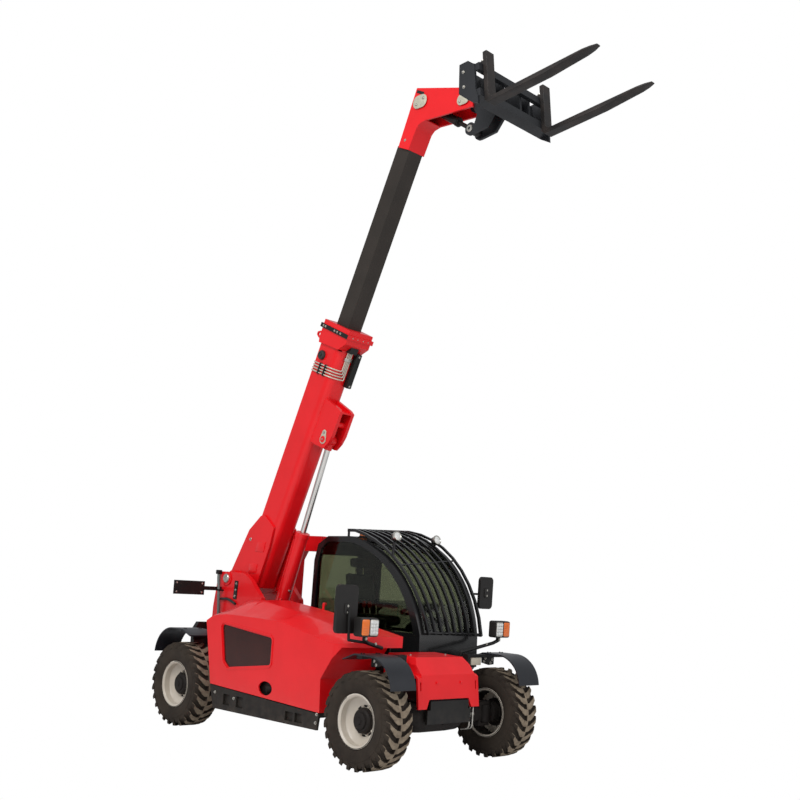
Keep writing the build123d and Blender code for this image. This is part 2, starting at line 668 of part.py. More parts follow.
with BuildPart() as whole_cab:
    add(cab_volume(0))
    add(cab_volume(cab_wall), mode=Mode.SUBTRACT)
    add(screen_region(0), mode=Mode.SUBTRACT)
    with BuildSketch(side(240)):
        with BuildLine():
            Polyline((800, 1075), *right_light)
            ThreePointArc(right_light[-1], (430, 1625), (800, 1075))
        make_face()
    extrude(amount=60, mode=Mode.SUBTRACT)
    extrude(door_outline(0, 860), amount=80, mode=Mode.SUBTRACT)
    block((cab_rear - 20, cab_rear + 50), (270, 770), (1180, 1800), Mode.SUBTRACT)

roof_split = 1880
with BuildPart() as cab_shell:
    add(whole_cab.part)
    block((-1000, 1300), (0, 1000), (roof_split, 2200), Mode.SUBTRACT)
    slab(side(900), [(975, 700), (975, 745), (1015, 784), (1100, 784), (1100, 700)], 260, Mode.SUBTRACT)
    for z in door_hinges:
        block((-470, -421), (840, 857), (z - 12, z))
        bar((*door_axis, z - 12), (*door_axis, z + 40), 5)
save(cab_shell.part, "cab_shell")
with BuildPart() as cab_roof:
    add(whole_cab.part)
    block((-1000, 1300), (0, 1000), (500, roof_split), Mode.SUBTRACT)
save(cab_roof.part, "cab_roof")

with BuildPart() as glass:
    add(cab_volume(8))
    add(cab_volume(14), mode=Mode.SUBTRACT)
    add(screen_region(1), mode=Mode.INTERSECT)
    with BuildSketch(side(214)):
        with BuildLine():
            Polyline((800, 1075), *right_light)
            ThreePointArc(right_light[-1], (430, 1625), (800, 1075))
        make_face()
    extrude(amount=6)
    block((cab_rear + 10, cab_rear + 16), (270, 770), (1180, 1800))
save(glass.part, "cab_glass")

with BuildPart() as door:
    extrude(door_outline(door_gap, 838), amount=26)
    extrude(door_outline(door_gap + 55, 850), amount=60, mode=Mode.SUBTRACT)
    block((-370, 860), (812, 838), (1040, 1070))
    for z in door_hinges:
        bar((*door_axis, z + 1), (*door_axis, z + 41), 9)
        block((-425, -380), (838, 845), (z + 1, z + 41))
        bar((*door_axis, z), (*door_axis, z + 42), 5 + running_gap, Mode.SUBTRACT)
save(door.part, "door_frame")
with BuildPart() as door_glass:
    extrude(door_outline(door_gap + 55, 828), amount=6)
    block((-500, 1000), (800, 860), (1040, 1070), Mode.SUBTRACT)
save(door_glass.part, "door_glass")

# Guard: flat bars on edge that follow the cab's sweep from the sill over the roof, on cross bars, and two
# work lamps on brackets
guard_gap, guard_depth, guard_bar = 46, 30, 24
guard_rear = -270
bend_share = 0.52
bar_count = 9
bar_runs = 10
work_lamp = (424, 1971)


def guard_row(share):
    """The sill's front, the bend along x and z, and the roof, at a share of the way to the cab's outer side"""
    near, far = cab_sides
    return (near[k] + (far[k] - near[k]) * share for k in (1, 2, 3, 4))


def sweep(share, rise):
    """Points down the sweep at a height above the cab's surface"""
    front, bend_x, bend_z, roof = guard_row(share)
    bend = (bend_x + bend_share * rise, bend_z + bend_share * rise)
    arc = ThreePointArc((-160, roof + rise), bend, (front + rise, 1080))
    return [(point.X, point.Y) for point in (arc @ (k / bar_runs) for k in range(bar_runs + 1))]


with BuildPart() as guard:
    for i in range(bar_count):
        share = i / (bar_count - 1)
        y = 250 + 570 * share
        low_side, high_side = sweep(share, guard_gap), sweep(share, guard_gap + guard_depth)
        outline = [(guard_rear, high_side[0][1]), (guard_rear, low_side[0][1])] + low_side + high_side[::-1]
        slab(side(y + guard_bar / 2), outline, guard_bar)
    edge = guard_bar / 2 - 3
    for share in (0, 1):
        y = 250 + 570 * share
        front, bend_x, bend_z, roof = guard_row(share)
        bar((guard_rear + 10, y, 1900), (guard_rear + 10, y, roof + guard_gap + 6), 12)
        block((870, front + guard_gap + 20), (y - 9, y + 9), (1072, 1090))
        lamp_x, lamp_z = work_lamp
        lamp_y = y + 10 * (1 - 2 * share)
        with BuildSketch(Plane(origin=(mid_x + lamp_x - 34, lamp_y, lamp_z - 14), z_dir=(0.92, 0, 0.38))):
            Circle(45)
        extrude(amount=46)
        middle = sweep(share, guard_gap + guard_depth / 2)
        foot = min(middle, key=lambda point: abs(point[0] - lamp_x + 30))
        bar((lamp_x - 20, lamp_y, lamp_z - 20), (foot[0], y, foot[1]), 13)
    for k, radius, drop in ((0, 9, 12), (1, 8, 18), (2, 11, 14)):
        ends = []
        for share in (0, 1):
            front, bend_x, bend_z, roof = guard_row(share)
            rise = guard_gap + drop
            bend = (bend_x + bend_share * rise, bend_z + bend_share * rise)
            place = ((guard_rear + 10, roof + rise), bend, (front + rise, 1094))[k]
            ends.append((place[0], 250 + 570 * share + (2 * share - 1) * edge, place[1]))
        bar(*ends, radius)
    add(cab_volume(0), mode=Mode.SUBTRACT)
save(guard.part, "cab_guard")

# Seat and steering column
with BuildPart() as seat:
    block((-330, 150), (320, 720), (1090, 1200))
    slab(side(720), [(-340, 1200), (-230, 1200), (-330, 1760), (-430, 1760)], 400)
    block((-260, 80), (400, 640), (cab_floor + cab_wall, 1090))
save(seat.part, "seat")
with BuildPart() as column:
    bar((700, 520, cab_floor + cab_wall + 16), (560, 520, 1240), 45)
    block((640, 760), (460, 580), (cab_floor + cab_wall, cab_floor + cab_wall + 30))
    with BuildSketch(Plane(origin=(mid_x + 548, 520, 1275), x_dir=(0, 1, 0), z_dir=(-0.29, 0, 0.957))):
        Circle(190)
        Circle(160, mode=Mode.SUBTRACT)
        for turn in (90, 210, 330):
            with Locations(Rot(0, 0, turn) * Pos(90, 0)):
                Rectangle(170, 30)
    extrude(amount=22)
    with BuildSketch(Plane(origin=(mid_x + 560, 520, 1236), x_dir=(0, 1, 0), z_dir=(-0.29, 0, 0.957))):
        Circle(50)
    extrude(amount=50)
save(column.part, "steering_column")

# Brace between the tower and the cab's rear
with BuildPart() as brace:
    slab(
        side(380),
        [(-1250, 748), (-1250, 1850), (-1180, 1950), (-702, 1950), (-702, 1790), (-1020, 1790), (-1080, 1700), (-1080, 748)],
        108,
    )
save(brace.part, "cab_brace")

# Rear weight with the tow hitch, and the plate bracket
with BuildPart() as weight:
    slab(across(-1802), [(-430, 470), (430, 470), (430, 900), (380, 980), (-380, 980), (-430, 900)], -58)
    for z in (500, 560):
        block((-1900, -1860), (-60, 60), (z, z + 22))
    bar((-1880, 0, 490), (-1880, 0, 600), 15, Mode.SUBTRACT)
save(weight.part, "counterweight")

with BuildPart() as plate_bracket:
    block((-1606, -1596), (-850, -490), (1270, 1410))
    block((-1630, -1606), (-500, -272), (1320, 1360))
    with Locations(Plane(origin=(mid_x - 1596, -670, 1340), x_dir=(0, 1, 0), z_dir=(1, 0, 0))):
        with GridLocations(300, 90, 2, 2):
            Hole(5, depth=10)
save(plate_bracket.part, "plate_bracket")

with BuildPart() as roof_lights:
    bar((-130, 330, 1940), (-130, 330, 1989), 38)
    add(cab_volume(0), mode=Mode.SUBTRACT)
save(roof_lights.part, "beacon")
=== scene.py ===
# Looks of the telescopic handler: paint, rubber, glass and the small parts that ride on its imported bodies.
import json
import math

import bpy
from mathutils import Matrix, Vector


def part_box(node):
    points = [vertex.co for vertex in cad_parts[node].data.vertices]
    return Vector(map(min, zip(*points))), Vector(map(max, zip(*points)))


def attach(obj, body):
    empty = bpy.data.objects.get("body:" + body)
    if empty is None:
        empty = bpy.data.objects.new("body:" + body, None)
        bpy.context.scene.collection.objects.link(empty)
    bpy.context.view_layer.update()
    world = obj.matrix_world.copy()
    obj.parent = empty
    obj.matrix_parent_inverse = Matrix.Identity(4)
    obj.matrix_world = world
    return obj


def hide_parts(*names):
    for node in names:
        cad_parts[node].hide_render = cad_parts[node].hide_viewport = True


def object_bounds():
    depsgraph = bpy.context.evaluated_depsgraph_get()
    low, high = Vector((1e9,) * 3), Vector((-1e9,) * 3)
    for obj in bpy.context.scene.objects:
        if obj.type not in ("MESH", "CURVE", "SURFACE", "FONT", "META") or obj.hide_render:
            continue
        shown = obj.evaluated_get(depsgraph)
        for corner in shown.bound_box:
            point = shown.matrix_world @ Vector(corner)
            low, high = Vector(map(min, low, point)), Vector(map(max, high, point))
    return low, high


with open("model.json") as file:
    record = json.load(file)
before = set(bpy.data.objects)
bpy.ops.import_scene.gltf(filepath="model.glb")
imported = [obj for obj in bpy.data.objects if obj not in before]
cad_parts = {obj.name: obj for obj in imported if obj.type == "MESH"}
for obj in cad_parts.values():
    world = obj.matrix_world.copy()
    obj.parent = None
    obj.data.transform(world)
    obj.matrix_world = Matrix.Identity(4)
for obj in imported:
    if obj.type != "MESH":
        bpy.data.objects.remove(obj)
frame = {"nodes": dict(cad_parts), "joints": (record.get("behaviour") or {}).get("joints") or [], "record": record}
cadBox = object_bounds()
nodes = frame["nodes"]
print("frame loaded")


# Camera, light and floor
camera = {
    "place": (7.333, -6.876, 1.613),
    "yaw": 133.267,
    "pitch": 5.046,
    "roll": 3.738,
    "lens": 48.355,
    "shift": (-0.071, 0.1035),
}


def addCamera(spec):
    yaw, pitch, roll = (math.radians(spec[k]) for k in ("yaw", "pitch", "roll"))
    ahead = Vector((math.cos(yaw) * math.cos(pitch), math.sin(yaw) * math.cos(pitch), math.sin(pitch)))
    right = ahead.cross(Vector((0, 0, 1))).normalized()
    up = right.cross(ahead)
    rightTurned = right * math.cos(roll) + up * math.sin(roll)
    upTurned = up * math.cos(roll) - right * math.sin(roll)
    turn = Matrix((rightTurned, upTurned, -ahead)).transposed().to_4x4()
    bpy.ops.object.camera_add()
    shot = bpy.context.object
    shot.name = "shotCamera"
    shot.matrix_world = Matrix.Translation(spec["place"]) @ turn
    shot.data.lens = spec["lens"]
    shot.data.sensor_width = 36
    shot.data.shift_x, shot.data.shift_y = spec["shift"]
    shot.data.clip_end = 200
    bpy.context.scene.camera = shot


studio = {
    "keyPlace": (3.0, -9.0, 9.5),
    "keySize": 7.0,
    "keyPower": 900,
    "fillPlace": (9.5, 2.0, 5.0),
    "fillSize": 8.0,
    "fillPower": 220,
    "lampAim": (0, 0, 2.2),
    "skyTone": (0.95, 0.97, 1.0),
    "skyStrength": 0.5,
    "floorSize": 80,
    "floorDrop": 0.001,
    "floorTone": (0.86, 0.86, 0.86),
}


def addArea(name, place, size, power, aimAt):
    bpy.ops.object.light_add(type="AREA", location=place)
    lamp = bpy.context.object
    lamp.name = name
    lamp.data.size = size
    lamp.data.energy = power
    aim = Vector(aimAt) - Vector(place)
    lamp.rotation_euler = aim.to_track_quat("-Z", "Y").to_euler()


def addNode(tree, kind, **values):
    made = tree.nodes.new("ShaderNode" + kind)
    for key, value in values.items():
        setattr(made, key, value)
    return made


def addShader(tree, kind, **sockets):
    made = addNode(tree, kind)
    for socket, value in sockets.items():
        made.inputs[socket].default_value = value
    return made.outputs[0]


def emptyTree(holder):
    holder.use_nodes = True
    holder.node_tree.nodes.clear()
    return holder.node_tree


def splitRays(tree, share, usual, shown, output):
    mix = addNode(tree, "MixShader")
    for source, socket in zip((share, usual, shown), mix.inputs):
        tree.links.new(source, socket)
    tree.links.new(mix.outputs[0], addNode(tree, output).inputs["Surface"])


# White to the camera and through glass, a soft sky for the rest
def addWorld(spec):
    world = bpy.data.worlds.new("softSky")
    bpy.context.scene.world = world
    tree = emptyTree(world)
    rays = addNode(tree, "LightPath")
    clear = addNode(tree, "Math", operation="MAXIMUM")
    tree.links.new(rays.outputs["Is Camera Ray"], clear.inputs[0])
    tree.links.new(rays.outputs["Is Transmission Ray"], clear.inputs[1])
    sky = addShader(tree, "Background", Color=(*spec["skyTone"], 1), Strength=spec["skyStrength"])
    white = addShader(tree, "Background", Color=(1, 1, 1, 1), Strength=1.0)
    splitRays(tree, clear.outputs[0], sky, white, "OutputWorld")


def addFloor(spec):
    level = cadBox[0][2] - spec["floorDrop"]
    bpy.ops.mesh.primitive_plane_add(size=spec["floorSize"], location=(0, 0, level))
    floor = bpy.context.object
    floor.name = "paleFloor"
    paint = bpy.data.materials.new("paleFloor")
    tree = emptyTree(paint)
    matt = addShader(tree, "BsdfDiffuse", Color=(*spec["floorTone"], 1))
    glow = addShader(tree, "Emission", Color=(1, 1, 1, 1), Strength=1.0)
    rays = addNode(tree, "LightPath")
    splitRays(tree, rays.outputs["Is Camera Ray"], matt, glow, "OutputMaterial")
    floor.data.materials.append(paint)


addCamera(camera)
for role in ("key", "fill"):
    addArea(role + "Light", studio[role + "Place"], studio[role + "Size"], studio[role + "Power"],
            studio["lampAim"])
addWorld(studio)
addFloor(studio)
bpy.context.scene.view_settings.view_transform = "Standard"
print("camera, light and floor")


# Finishes
finishes = {}


def addNoise(tree, place, scale, detail=3.0, roughness=0.6):
    noise = addNode(tree, "TexNoise")
    noise.inputs["Scale"].default_value = scale
    noise.inputs["Detail"].default_value = detail
    noise.inputs["Roughness"].default_value = roughness
    tree.links.new(place, noise.inputs["Vector"])
    return noise.outputs["Fac"]


def addRange(tree, source, low, high, toLow=0.0, toHigh=1.0):
    span = addNode(tree, "MapRange")
    for slot, value in ((1, low), (2, high), (3, toLow), (4, toHigh)):
        span.inputs[slot].default_value = value
    tree.links.new(source, span.inputs[0])
    return span.outputs[0]


def addMix(tree, share, first, second):
    mix = addNode(tree, "Mix", data_type="RGBA")
    tree.links.new(share, mix.inputs["Factor"])
    for slot, colour in (("A", first), ("B", second)):
        socket = [s for s in mix.inputs if s.name == slot and s.type == "RGBA"][0]
        if isinstance(colour, tuple):
            socket.default_value = (*colour, 1)
        else:
            tree.links.new(colour, socket)
    return [s for s in mix.outputs if s.type == "RGBA"][0]


def newFinish(name, look):
    finish = bpy.data.materials.new(name)
    finish.use_nodes = True
    tree = finish.node_tree
    shader = tree.nodes["Principled BSDF"]
    for socket, key, usual in (
        ("Metallic", "metal", 0.0),
        ("Coat Weight", "coat", 0.0),
        ("Coat Roughness", "coatRoughness", 0.05),
        ("Transmission Weight", "clear", 0.0),
        ("IOR", "ior", 1.5),
    ):
        shader.inputs[socket].default_value = look.get(key, usual)
    place = addNode(tree, "TexCoord").outputs["Object"]
    cloud = addNoise(tree, place, look.get("cloud", 3.0))
    share = addRange(tree, cloud, 0.35, 0.65)
    colour = addMix(tree, share, look["tone"], look.get("second", look["tone"]))
    low, high = look["rough"]
    rough = addRange(tree, addNoise(tree, place, look.get("smear", 9.0), 4.0), 0.3, 0.7, low, high)
    if "dust" in look:
        split = addNode(tree, "SeparateXYZ")
        tree.links.new(place, split.inputs[0])
        fall = addRange(tree, split.outputs["Z"], look["dustTop"], 0.15, 0.0, look["dustShare"])
        patch = addRange(tree, addNoise(tree, place, 14.0, 5.0), 0.35, 0.75)
        both = addNode(tree, "Math", operation="MULTIPLY")
        tree.links.new(fall, both.inputs[0])
        tree.links.new(patch, both.inputs[1])
        colour = addMix(tree, both.outputs[0], colour, look["dust"])
    tree.links.new(colour, shader.inputs["Base Color"])
    tree.links.new(rough, shader.inputs["Roughness"])
    if look.get("bump"):
        grain = addNoise(tree, place, look["grain"], 2.0)
        lift = addNode(tree, "Bump")
        lift.inputs["Strength"].default_value = look["bump"]
        lift.inputs["Distance"].default_value = look.get("bumpDepth", 0.001)
        tree.links.new(grain, lift.inputs["Height"])
        tree.links.new(lift.outputs[0], shader.inputs["Normal"])
    finishes[name] = finish
    return finish


dustTone = (0.30, 0.24, 0.18)
looks = {
    "redPaint": dict(tone=(0.80, 0.0055, 0.010), second=(0.74, 0.0045, 0.008), rough=(0.30, 0.42), ior=1.36,
                     coat=0.30, coatRoughness=0.07, grain=420.0, bump=0.05, dust=dustTone, dustTop=0.55,
                     dustShare=0.2),
    "boomPaint": dict(tone=(0.030, 0.023, 0.018), second=(0.022, 0.017, 0.013), rough=(0.36, 0.5), ior=1.35,
                      coat=0.08, coatRoughness=0.2, grain=300.0, bump=0.06),
    "blackPaint": dict(tone=(0.0065, 0.0062, 0.006), second=(0.010, 0.0095, 0.009), rough=(0.34, 0.48),
                       ior=1.32, coat=0.08, coatRoughness=0.15, grain=350.0, bump=0.06, dust=dustTone,
                       dustTop=0.6, dustShare=0.12),
    "glossBlack": dict(tone=(0.006, 0.006, 0.0065), second=(0.009, 0.009, 0.009), rough=(0.16, 0.26),
                       ior=1.38, coat=0.25, coatRoughness=0.05, grain=400.0, bump=0.03),
    "carriagePaint": dict(tone=(0.017, 0.018, 0.021), second=(0.012, 0.013, 0.015), rough=(0.42, 0.55),
                          ior=1.38, coat=0.08, coatRoughness=0.2, grain=260.0, bump=0.08),
    "forkSteel": dict(tone=(0.010, 0.0085, 0.008), second=(0.026, 0.019, 0.016), cloud=7.0,
                      rough=(0.38, 0.6), ior=1.35, coat=0.2, grain=200.0, bump=0.12),
    "skirtSteel": dict(tone=(0.012, 0.010, 0.009), second=(0.020, 0.016, 0.013), rough=(0.5, 0.7), ior=1.34,
                       grain=240.0, bump=0.1, dust=dustTone, dustTop=0.5, dustShare=0.15),
    "fenderPlastic": dict(tone=(0.013, 0.0145, 0.020), second=(0.010, 0.011, 0.015), rough=(0.30, 0.42),
                          ior=1.4, grain=700.0, bump=0.2, coat=0.12, coatRoughness=0.3),
    "rubber": dict(tone=(0.026, 0.0195, 0.015), second=(0.040, 0.030, 0.022), cloud=6.0, rough=(0.75, 0.9),
                   ior=1.3, grain=160.0, bump=0.3),
    "dustyRubber": dict(tone=(0.27, 0.215, 0.155), second=(0.17, 0.132, 0.095), cloud=22.0,
                        rough=(0.85, 0.95), ior=1.3, grain=220.0, bump=0.4),
    "rimPaint": dict(tone=(0.62, 0.56, 0.48), second=(0.50, 0.44, 0.36), rough=(0.35, 0.5), coat=0.2,
                     coatRoughness=0.1, grain=300.0, bump=0.06),
    "chromeRod": dict(tone=(0.72, 0.70, 0.67), second=(0.66, 0.64, 0.61), rough=(0.10, 0.18), metal=1.0),
    "zincSteel": dict(tone=(0.62, 0.60, 0.55), second=(0.50, 0.48, 0.43), cloud=30.0, rough=(0.28, 0.42),
                      metal=1.0),
    "castIron": dict(tone=(0.018, 0.014, 0.012), second=(0.012, 0.010, 0.009), rough=(0.6, 0.75), ior=1.3,
                     grain=150.0, bump=0.2),
    "mouldedBlack": dict(tone=(0.009, 0.008, 0.0075), second=(0.014, 0.012, 0.011), rough=(0.42, 0.55),
                         ior=1.38, grain=800.0, bump=0.25),
    "amberLens": dict(tone=(0.90, 0.20, 0.010), second=(0.75, 0.14, 0.008), rough=(0.12, 0.2), coat=0.6,
                      grain=120.0, bump=0.25),
    "clearLens": dict(tone=(0.80, 0.80, 0.78), second=(0.62, 0.62, 0.60), cloud=60.0, rough=(0.1, 0.25),
                      coat=0.5),
    "mirrorGlass": dict(tone=(0.82, 0.84, 0.85), rough=(0.02, 0.04), metal=1.0),
    "cabGlass": dict(tone=(0.27, 0.29, 0.21), second=(0.25, 0.27, 0.19), rough=(0.0, 0.02), clear=1.0,
                     ior=1.3),
    "hoodGlass": dict(tone=(0.085, 0.026, 0.021), second=(0.060, 0.020, 0.017), rough=(0.05, 0.10),
                      clear=0.45, ior=1.3),
    "redLens": dict(tone=(0.55, 0.010, 0.008), second=(0.42, 0.008, 0.006), rough=(0.1, 0.2), coat=0.5,
                    grain=200.0, bump=0.2),
    "knobRed": dict(tone=(0.5, 0.02, 0.015), second=(0.4, 0.016, 0.012), rough=(0.3, 0.4), coat=0.2),
    "palePlate": dict(tone=(0.66, 0.62, 0.48), second=(0.52, 0.50, 0.40), cloud=40.0, rough=(0.3, 0.45),
                      metal=0.4, grain=300.0, bump=0.1),
    "seatCloth": dict(tone=(0.022, 0.022, 0.024), second=(0.035, 0.035, 0.037), rough=(0.8, 0.95),
                      grain=900.0, bump=0.6),
    "hoseRubber": dict(tone=(0.016, 0.016, 0.016), second=(0.028, 0.027, 0.026), rough=(0.5, 0.65),
                       grain=500.0, bump=0.2),
    "greyHose": dict(tone=(0.13, 0.15, 0.14), second=(0.10, 0.12, 0.11), rough=(0.5, 0.65), grain=500.0,
                     bump=0.2),
    "palePipe": dict(tone=(0.66, 0.58, 0.48), second=(0.55, 0.48, 0.40), cloud=20.0, rough=(0.28, 0.4),
                     metal=0.35, coat=0.3),
    "labelBeige": dict(tone=(0.55, 0.50, 0.40), second=(0.48, 0.43, 0.34), rough=(0.45, 0.6), grain=300.0,
                       bump=0.05),
}
for name, look in looks.items():
    newFinish(name, look)
print(len(finishes), "finishes")


# Modelling helpers
sides = (("Near", -1), ("Far", 1))
forward, behind, upward = (1, 0, 0), (-1, 0, 0), (0, 0, 1)
bodyOf = {node: body for body, members in frame["record"]["behaviour"]["bodies"].items() for node in members}
joints = {row["name"]: row for row in frame["joints"]}
mergeGap = 0.00005


def camel(text):
    first, *others = text.split("_")
    return first + "".join(word.capitalize() for word in others)


def middle(nodeName):
    low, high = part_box(nodeName)
    return (low + high) / 2


midX = (middle("tyre_front_right").x + middle("tyre_rear_right").x) / 2


def spot(x, y, z):
    return Vector((midX + x, y, z))   # x from the wheelbase's middle


def spots(*places):
    return [spot(*place) for place in places]


def sideways(reach):
    return Vector((0, reach, 0))


def pick(*pieces):
    if bpy.context.object and bpy.context.object.mode != "OBJECT":
        bpy.ops.object.mode_set(mode="OBJECT")
    bpy.ops.object.select_all(action="DESELECT")
    for piece in pieces:
        piece.select_set(True)
    if pieces:
        bpy.context.view_layer.objects.active = pieces[-1]


def settle(piece, name, finish, body=None, smooth=35.0):
    pick(piece)
    bpy.ops.object.transform_apply()
    piece.name = name
    piece.data.name = name
    if finish:
        piece.data.materials.clear()
        piece.data.materials.append(finishes[finish])
    if smooth:
        bpy.ops.object.shade_smooth_by_angle(angle=math.radians(smooth))
    if body:
        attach(piece, body)
    return piece


def useModifier(piece, kind, **values):
    pick(piece)
    step = piece.modifiers.new(kind.lower(), kind)
    for key, value in values.items():
        setattr(step, key, value)
    bpy.ops.object.modifier_apply(modifier=step.name)


def softenEdges(piece, width, segments, **more):
    useModifier(piece, "BEVEL", width=width, segments=segments, limit_method="ANGLE", use_clamp_overlap=True,
                **more)


def editAll():
    bpy.ops.object.mode_set(mode="EDIT")
    bpy.ops.mesh.select_all(action="SELECT")


def faceOutwards():
    bpy.ops.mesh.select_all(action="SELECT")
    bpy.ops.mesh.normals_make_consistent(inside=False)
    bpy.ops.object.mode_set(mode="OBJECT")


def copyOf(master):
    pick(master)
    bpy.ops.object.duplicate()
    return bpy.context.object


def replaceNode(nodeName):
    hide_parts(nodeName)


def dressNode(nodeName, finish, bevel):
    piece = copyOf(nodes[nodeName])
    piece.parent = None
    for key in list(piece.keys()):
        del piece[key]
    editAll()
    bpy.ops.mesh.remove_doubles(threshold=mergeGap)
    bpy.ops.mesh.customdata_custom_splitnormals_clear()
    bpy.ops.mesh.dissolve_limited(angle_limit=math.radians(0.6))
    bpy.ops.object.mode_set(mode="OBJECT")
    if bevel:
        softenEdges(piece, bevel, 2, angle_limit=math.radians(32), loop_slide=True)
    settle(piece, camel(nodeName) + "Skin", finish, bodyOf[nodeName])
    useModifier(piece, "WEIGHTED_NORMAL", keep_sharp=True)
    replaceNode(nodeName)
    return piece


def paintWhere(piece, finish, test):
    piece.data.materials.append(finishes[finish])
    for face in piece.data.polygons:
        if test(face.center, face.normal):
            face.material_index = len(piece.data.materials) - 1


def chain(points):
    pick()
    bpy.ops.mesh.primitive_plane_add(size=0.01)
    piece = bpy.context.object
    bpy.ops.object.mode_set(mode="EDIT")
    bpy.ops.mesh.select_mode(type="VERT")
    bpy.ops.mesh.select_all(action="SELECT")
    bpy.ops.mesh.merge(type="CENTER")
    bpy.ops.transform.translate(value=points[0])
    for last, point in zip(points, points[1:]):
        step = Vector(point) - Vector(last)
        bpy.ops.mesh.extrude_region_move(TRANSFORM_OT_translate={"value": step})
    bpy.ops.mesh.select_all(action="SELECT")
    return piece


# A profile of (along, radius) points spun round an axis
def turned(name, finish, centre, axis, profile, steps=48, smooth=35.0, body="chassis"):
    axis = Vector(axis).normalized()
    out = axis.orthogonal().normalized()
    centre = Vector(centre)
    piece = chain([centre + axis * along + out * radius for along, radius in profile])
    bpy.ops.mesh.spin(steps=steps, angle=2 * math.pi, center=centre, axis=axis)
    bpy.ops.mesh.select_all(action="SELECT")
    bpy.ops.mesh.remove_doubles(threshold=mergeGap)
    faceOutwards()
    return settle(piece, name, finish, body, smooth)


# An outline drawn out along a run
def plate(name, finish, points, run, bevel=0.003, body="chassis"):
    piece = chain(points)
    bpy.ops.mesh.edge_face_add()
    bpy.ops.mesh.extrude_region_move(TRANSFORM_OT_translate={"value": run})
    faceOutwards()
    softenEdges(piece, bevel, 2, angle_limit=math.radians(30))
    return settle(piece, name, finish, body)


def roundedOutline(width, height, radius, steps=5):
    points = []
    for k, (toRight, toTop) in enumerate(((1, 1), (-1, 1), (-1, -1), (1, -1))):
        for step in range(steps + 1):
            turn = math.radians(90 * (k + step / steps))
            points.append((toRight * (width / 2 - radius) + radius * math.cos(turn),
                           toTop * (height / 2 - radius) + radius * math.sin(turn)))
    return points


# A flat part with round corners
def panel(name, finish, centre, facing, size, radius, depth, bevel=0.002, up=upward, body="chassis"):
    facing = Vector(facing).normalized()
    across = Vector(up).cross(facing).normalized()
    rise = facing.cross(across)
    points = [Vector(centre) + across * a + rise * b for a, b in roundedOutline(*size, radius)]
    return plate(name, finish, points, facing * depth, bevel, body)


def box(name, finish, low, high, bevel=0.004, segments=3, body="chassis"):
    low, high = Vector(low), Vector(high)
    pick()
    bpy.ops.mesh.primitive_cube_add(size=1, location=(low + high) / 2, scale=high - low)
    piece = bpy.context.object
    bpy.ops.object.transform_apply()
    softenEdges(piece, bevel, segments)
    return settle(piece, name, finish, body)


def drawLine(name, points, kind):
    line = bpy.data.curves.new(name, "CURVE")
    line.dimensions = "3D"
    run = line.splines.new(kind)
    run.points.add(len(points) - 1)
    for knot, point in zip(run.points, points):
        knot.co = (*point, 1)
    piece = bpy.data.objects.new(name, line)
    bpy.context.collection.objects.link(piece)
    return piece


# A rigid pipe: straight runs with round bends
def pipe(name, finish, points, radius, bendRadius=0.03, sides=3, body="chassis"):
    pick()
    piece = drawLine(name, points, "POLY")
    pick(piece)
    bpy.ops.object.convert(target="MESH")
    editAll()
    if len(points) > 2:
        bpy.ops.mesh.bevel(offset=bendRadius, segments=5, affect="VERTICES", clamp_overlap=True)
    bpy.ops.object.mode_set(mode="OBJECT")
    bpy.ops.object.convert(target="CURVE")
    line = bpy.context.object.data
    line.bevel_depth = radius
    line.bevel_resolution = sides
    line.use_fill_caps = True
    bpy.ops.object.convert(target="MESH")
    return settle(bpy.context.object, name, finish, body, 60.0)


# A hose that hangs free between its fittings
def hose(name, finish, points, diameter, body="chassis"):
    piece = drawLine(name, points, "NURBS")
    line = piece.data
    run = line.splines[0]
    run.order_u = 3
    run.use_endpoint_u = True
    line.resolution_u = 10
    line.bevel_depth = diameter / 2
    line.bevel_resolution = 4
    line.use_fill_caps = True
    line.materials.append(finishes[finish])
    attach(piece, body)
    return piece


def joinPieces(name, pieces, body=None):
    pick(*pieces)
    bpy.ops.object.join()
    piece = bpy.context.object
    piece.name = name
    piece.data.name = name
    if body:
        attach(piece, body)
    return piece


bolt = {  # shares of a bolt's size, which is its head's radius
    "head": dict(vertices=6, radius=1.0, depth=0.9, rise=0.63, edge=0.16, segments=2),
    "washer": dict(vertices=20, radius=1.55, depth=0.24, rise=0.06, edge=0.05, segments=1),
}


def hexBolt(size):
    made = []
    for part in (bolt["washer"], bolt["head"]):
        pick()
        bpy.ops.mesh.primitive_cylinder_add(vertices=part["vertices"], radius=size * part["radius"],
                                            depth=size * part["depth"], location=(0, 0, size * part["rise"]))
        made.append(bpy.context.object)
        bpy.ops.object.transform_apply()
        softenEdges(made[-1], size * part["edge"], part["segments"])
    return joinPieces("boltHead", made)


def addBolts(name, places, facing, size, finish="zincSteel", body="chassis"):
    master = hexBolt(size)
    turn = Vector(facing).to_track_quat("Z", "Y").to_matrix().to_4x4()
    made = []
    for place in places:
        made.append(copyOf(master))
        made[-1].matrix_world = Matrix.Translation(place) @ turn
    bpy.data.objects.remove(master)
    return settle(joinPieces(name, made), name, finish, body, 30.0)


def pinCap(name, centre, side, radius, proud, body="chassis"):
    rings = [(-0.004, radius), (proud * 0.6, radius), (proud, radius * 0.88), (proud, radius * 0.42),
             (proud * 0.55, radius * 0.36), (proud * 0.55, 0.0)]
    return turned(name, "zincSteel", centre, (0, side, 0), rings, 40, body=body)


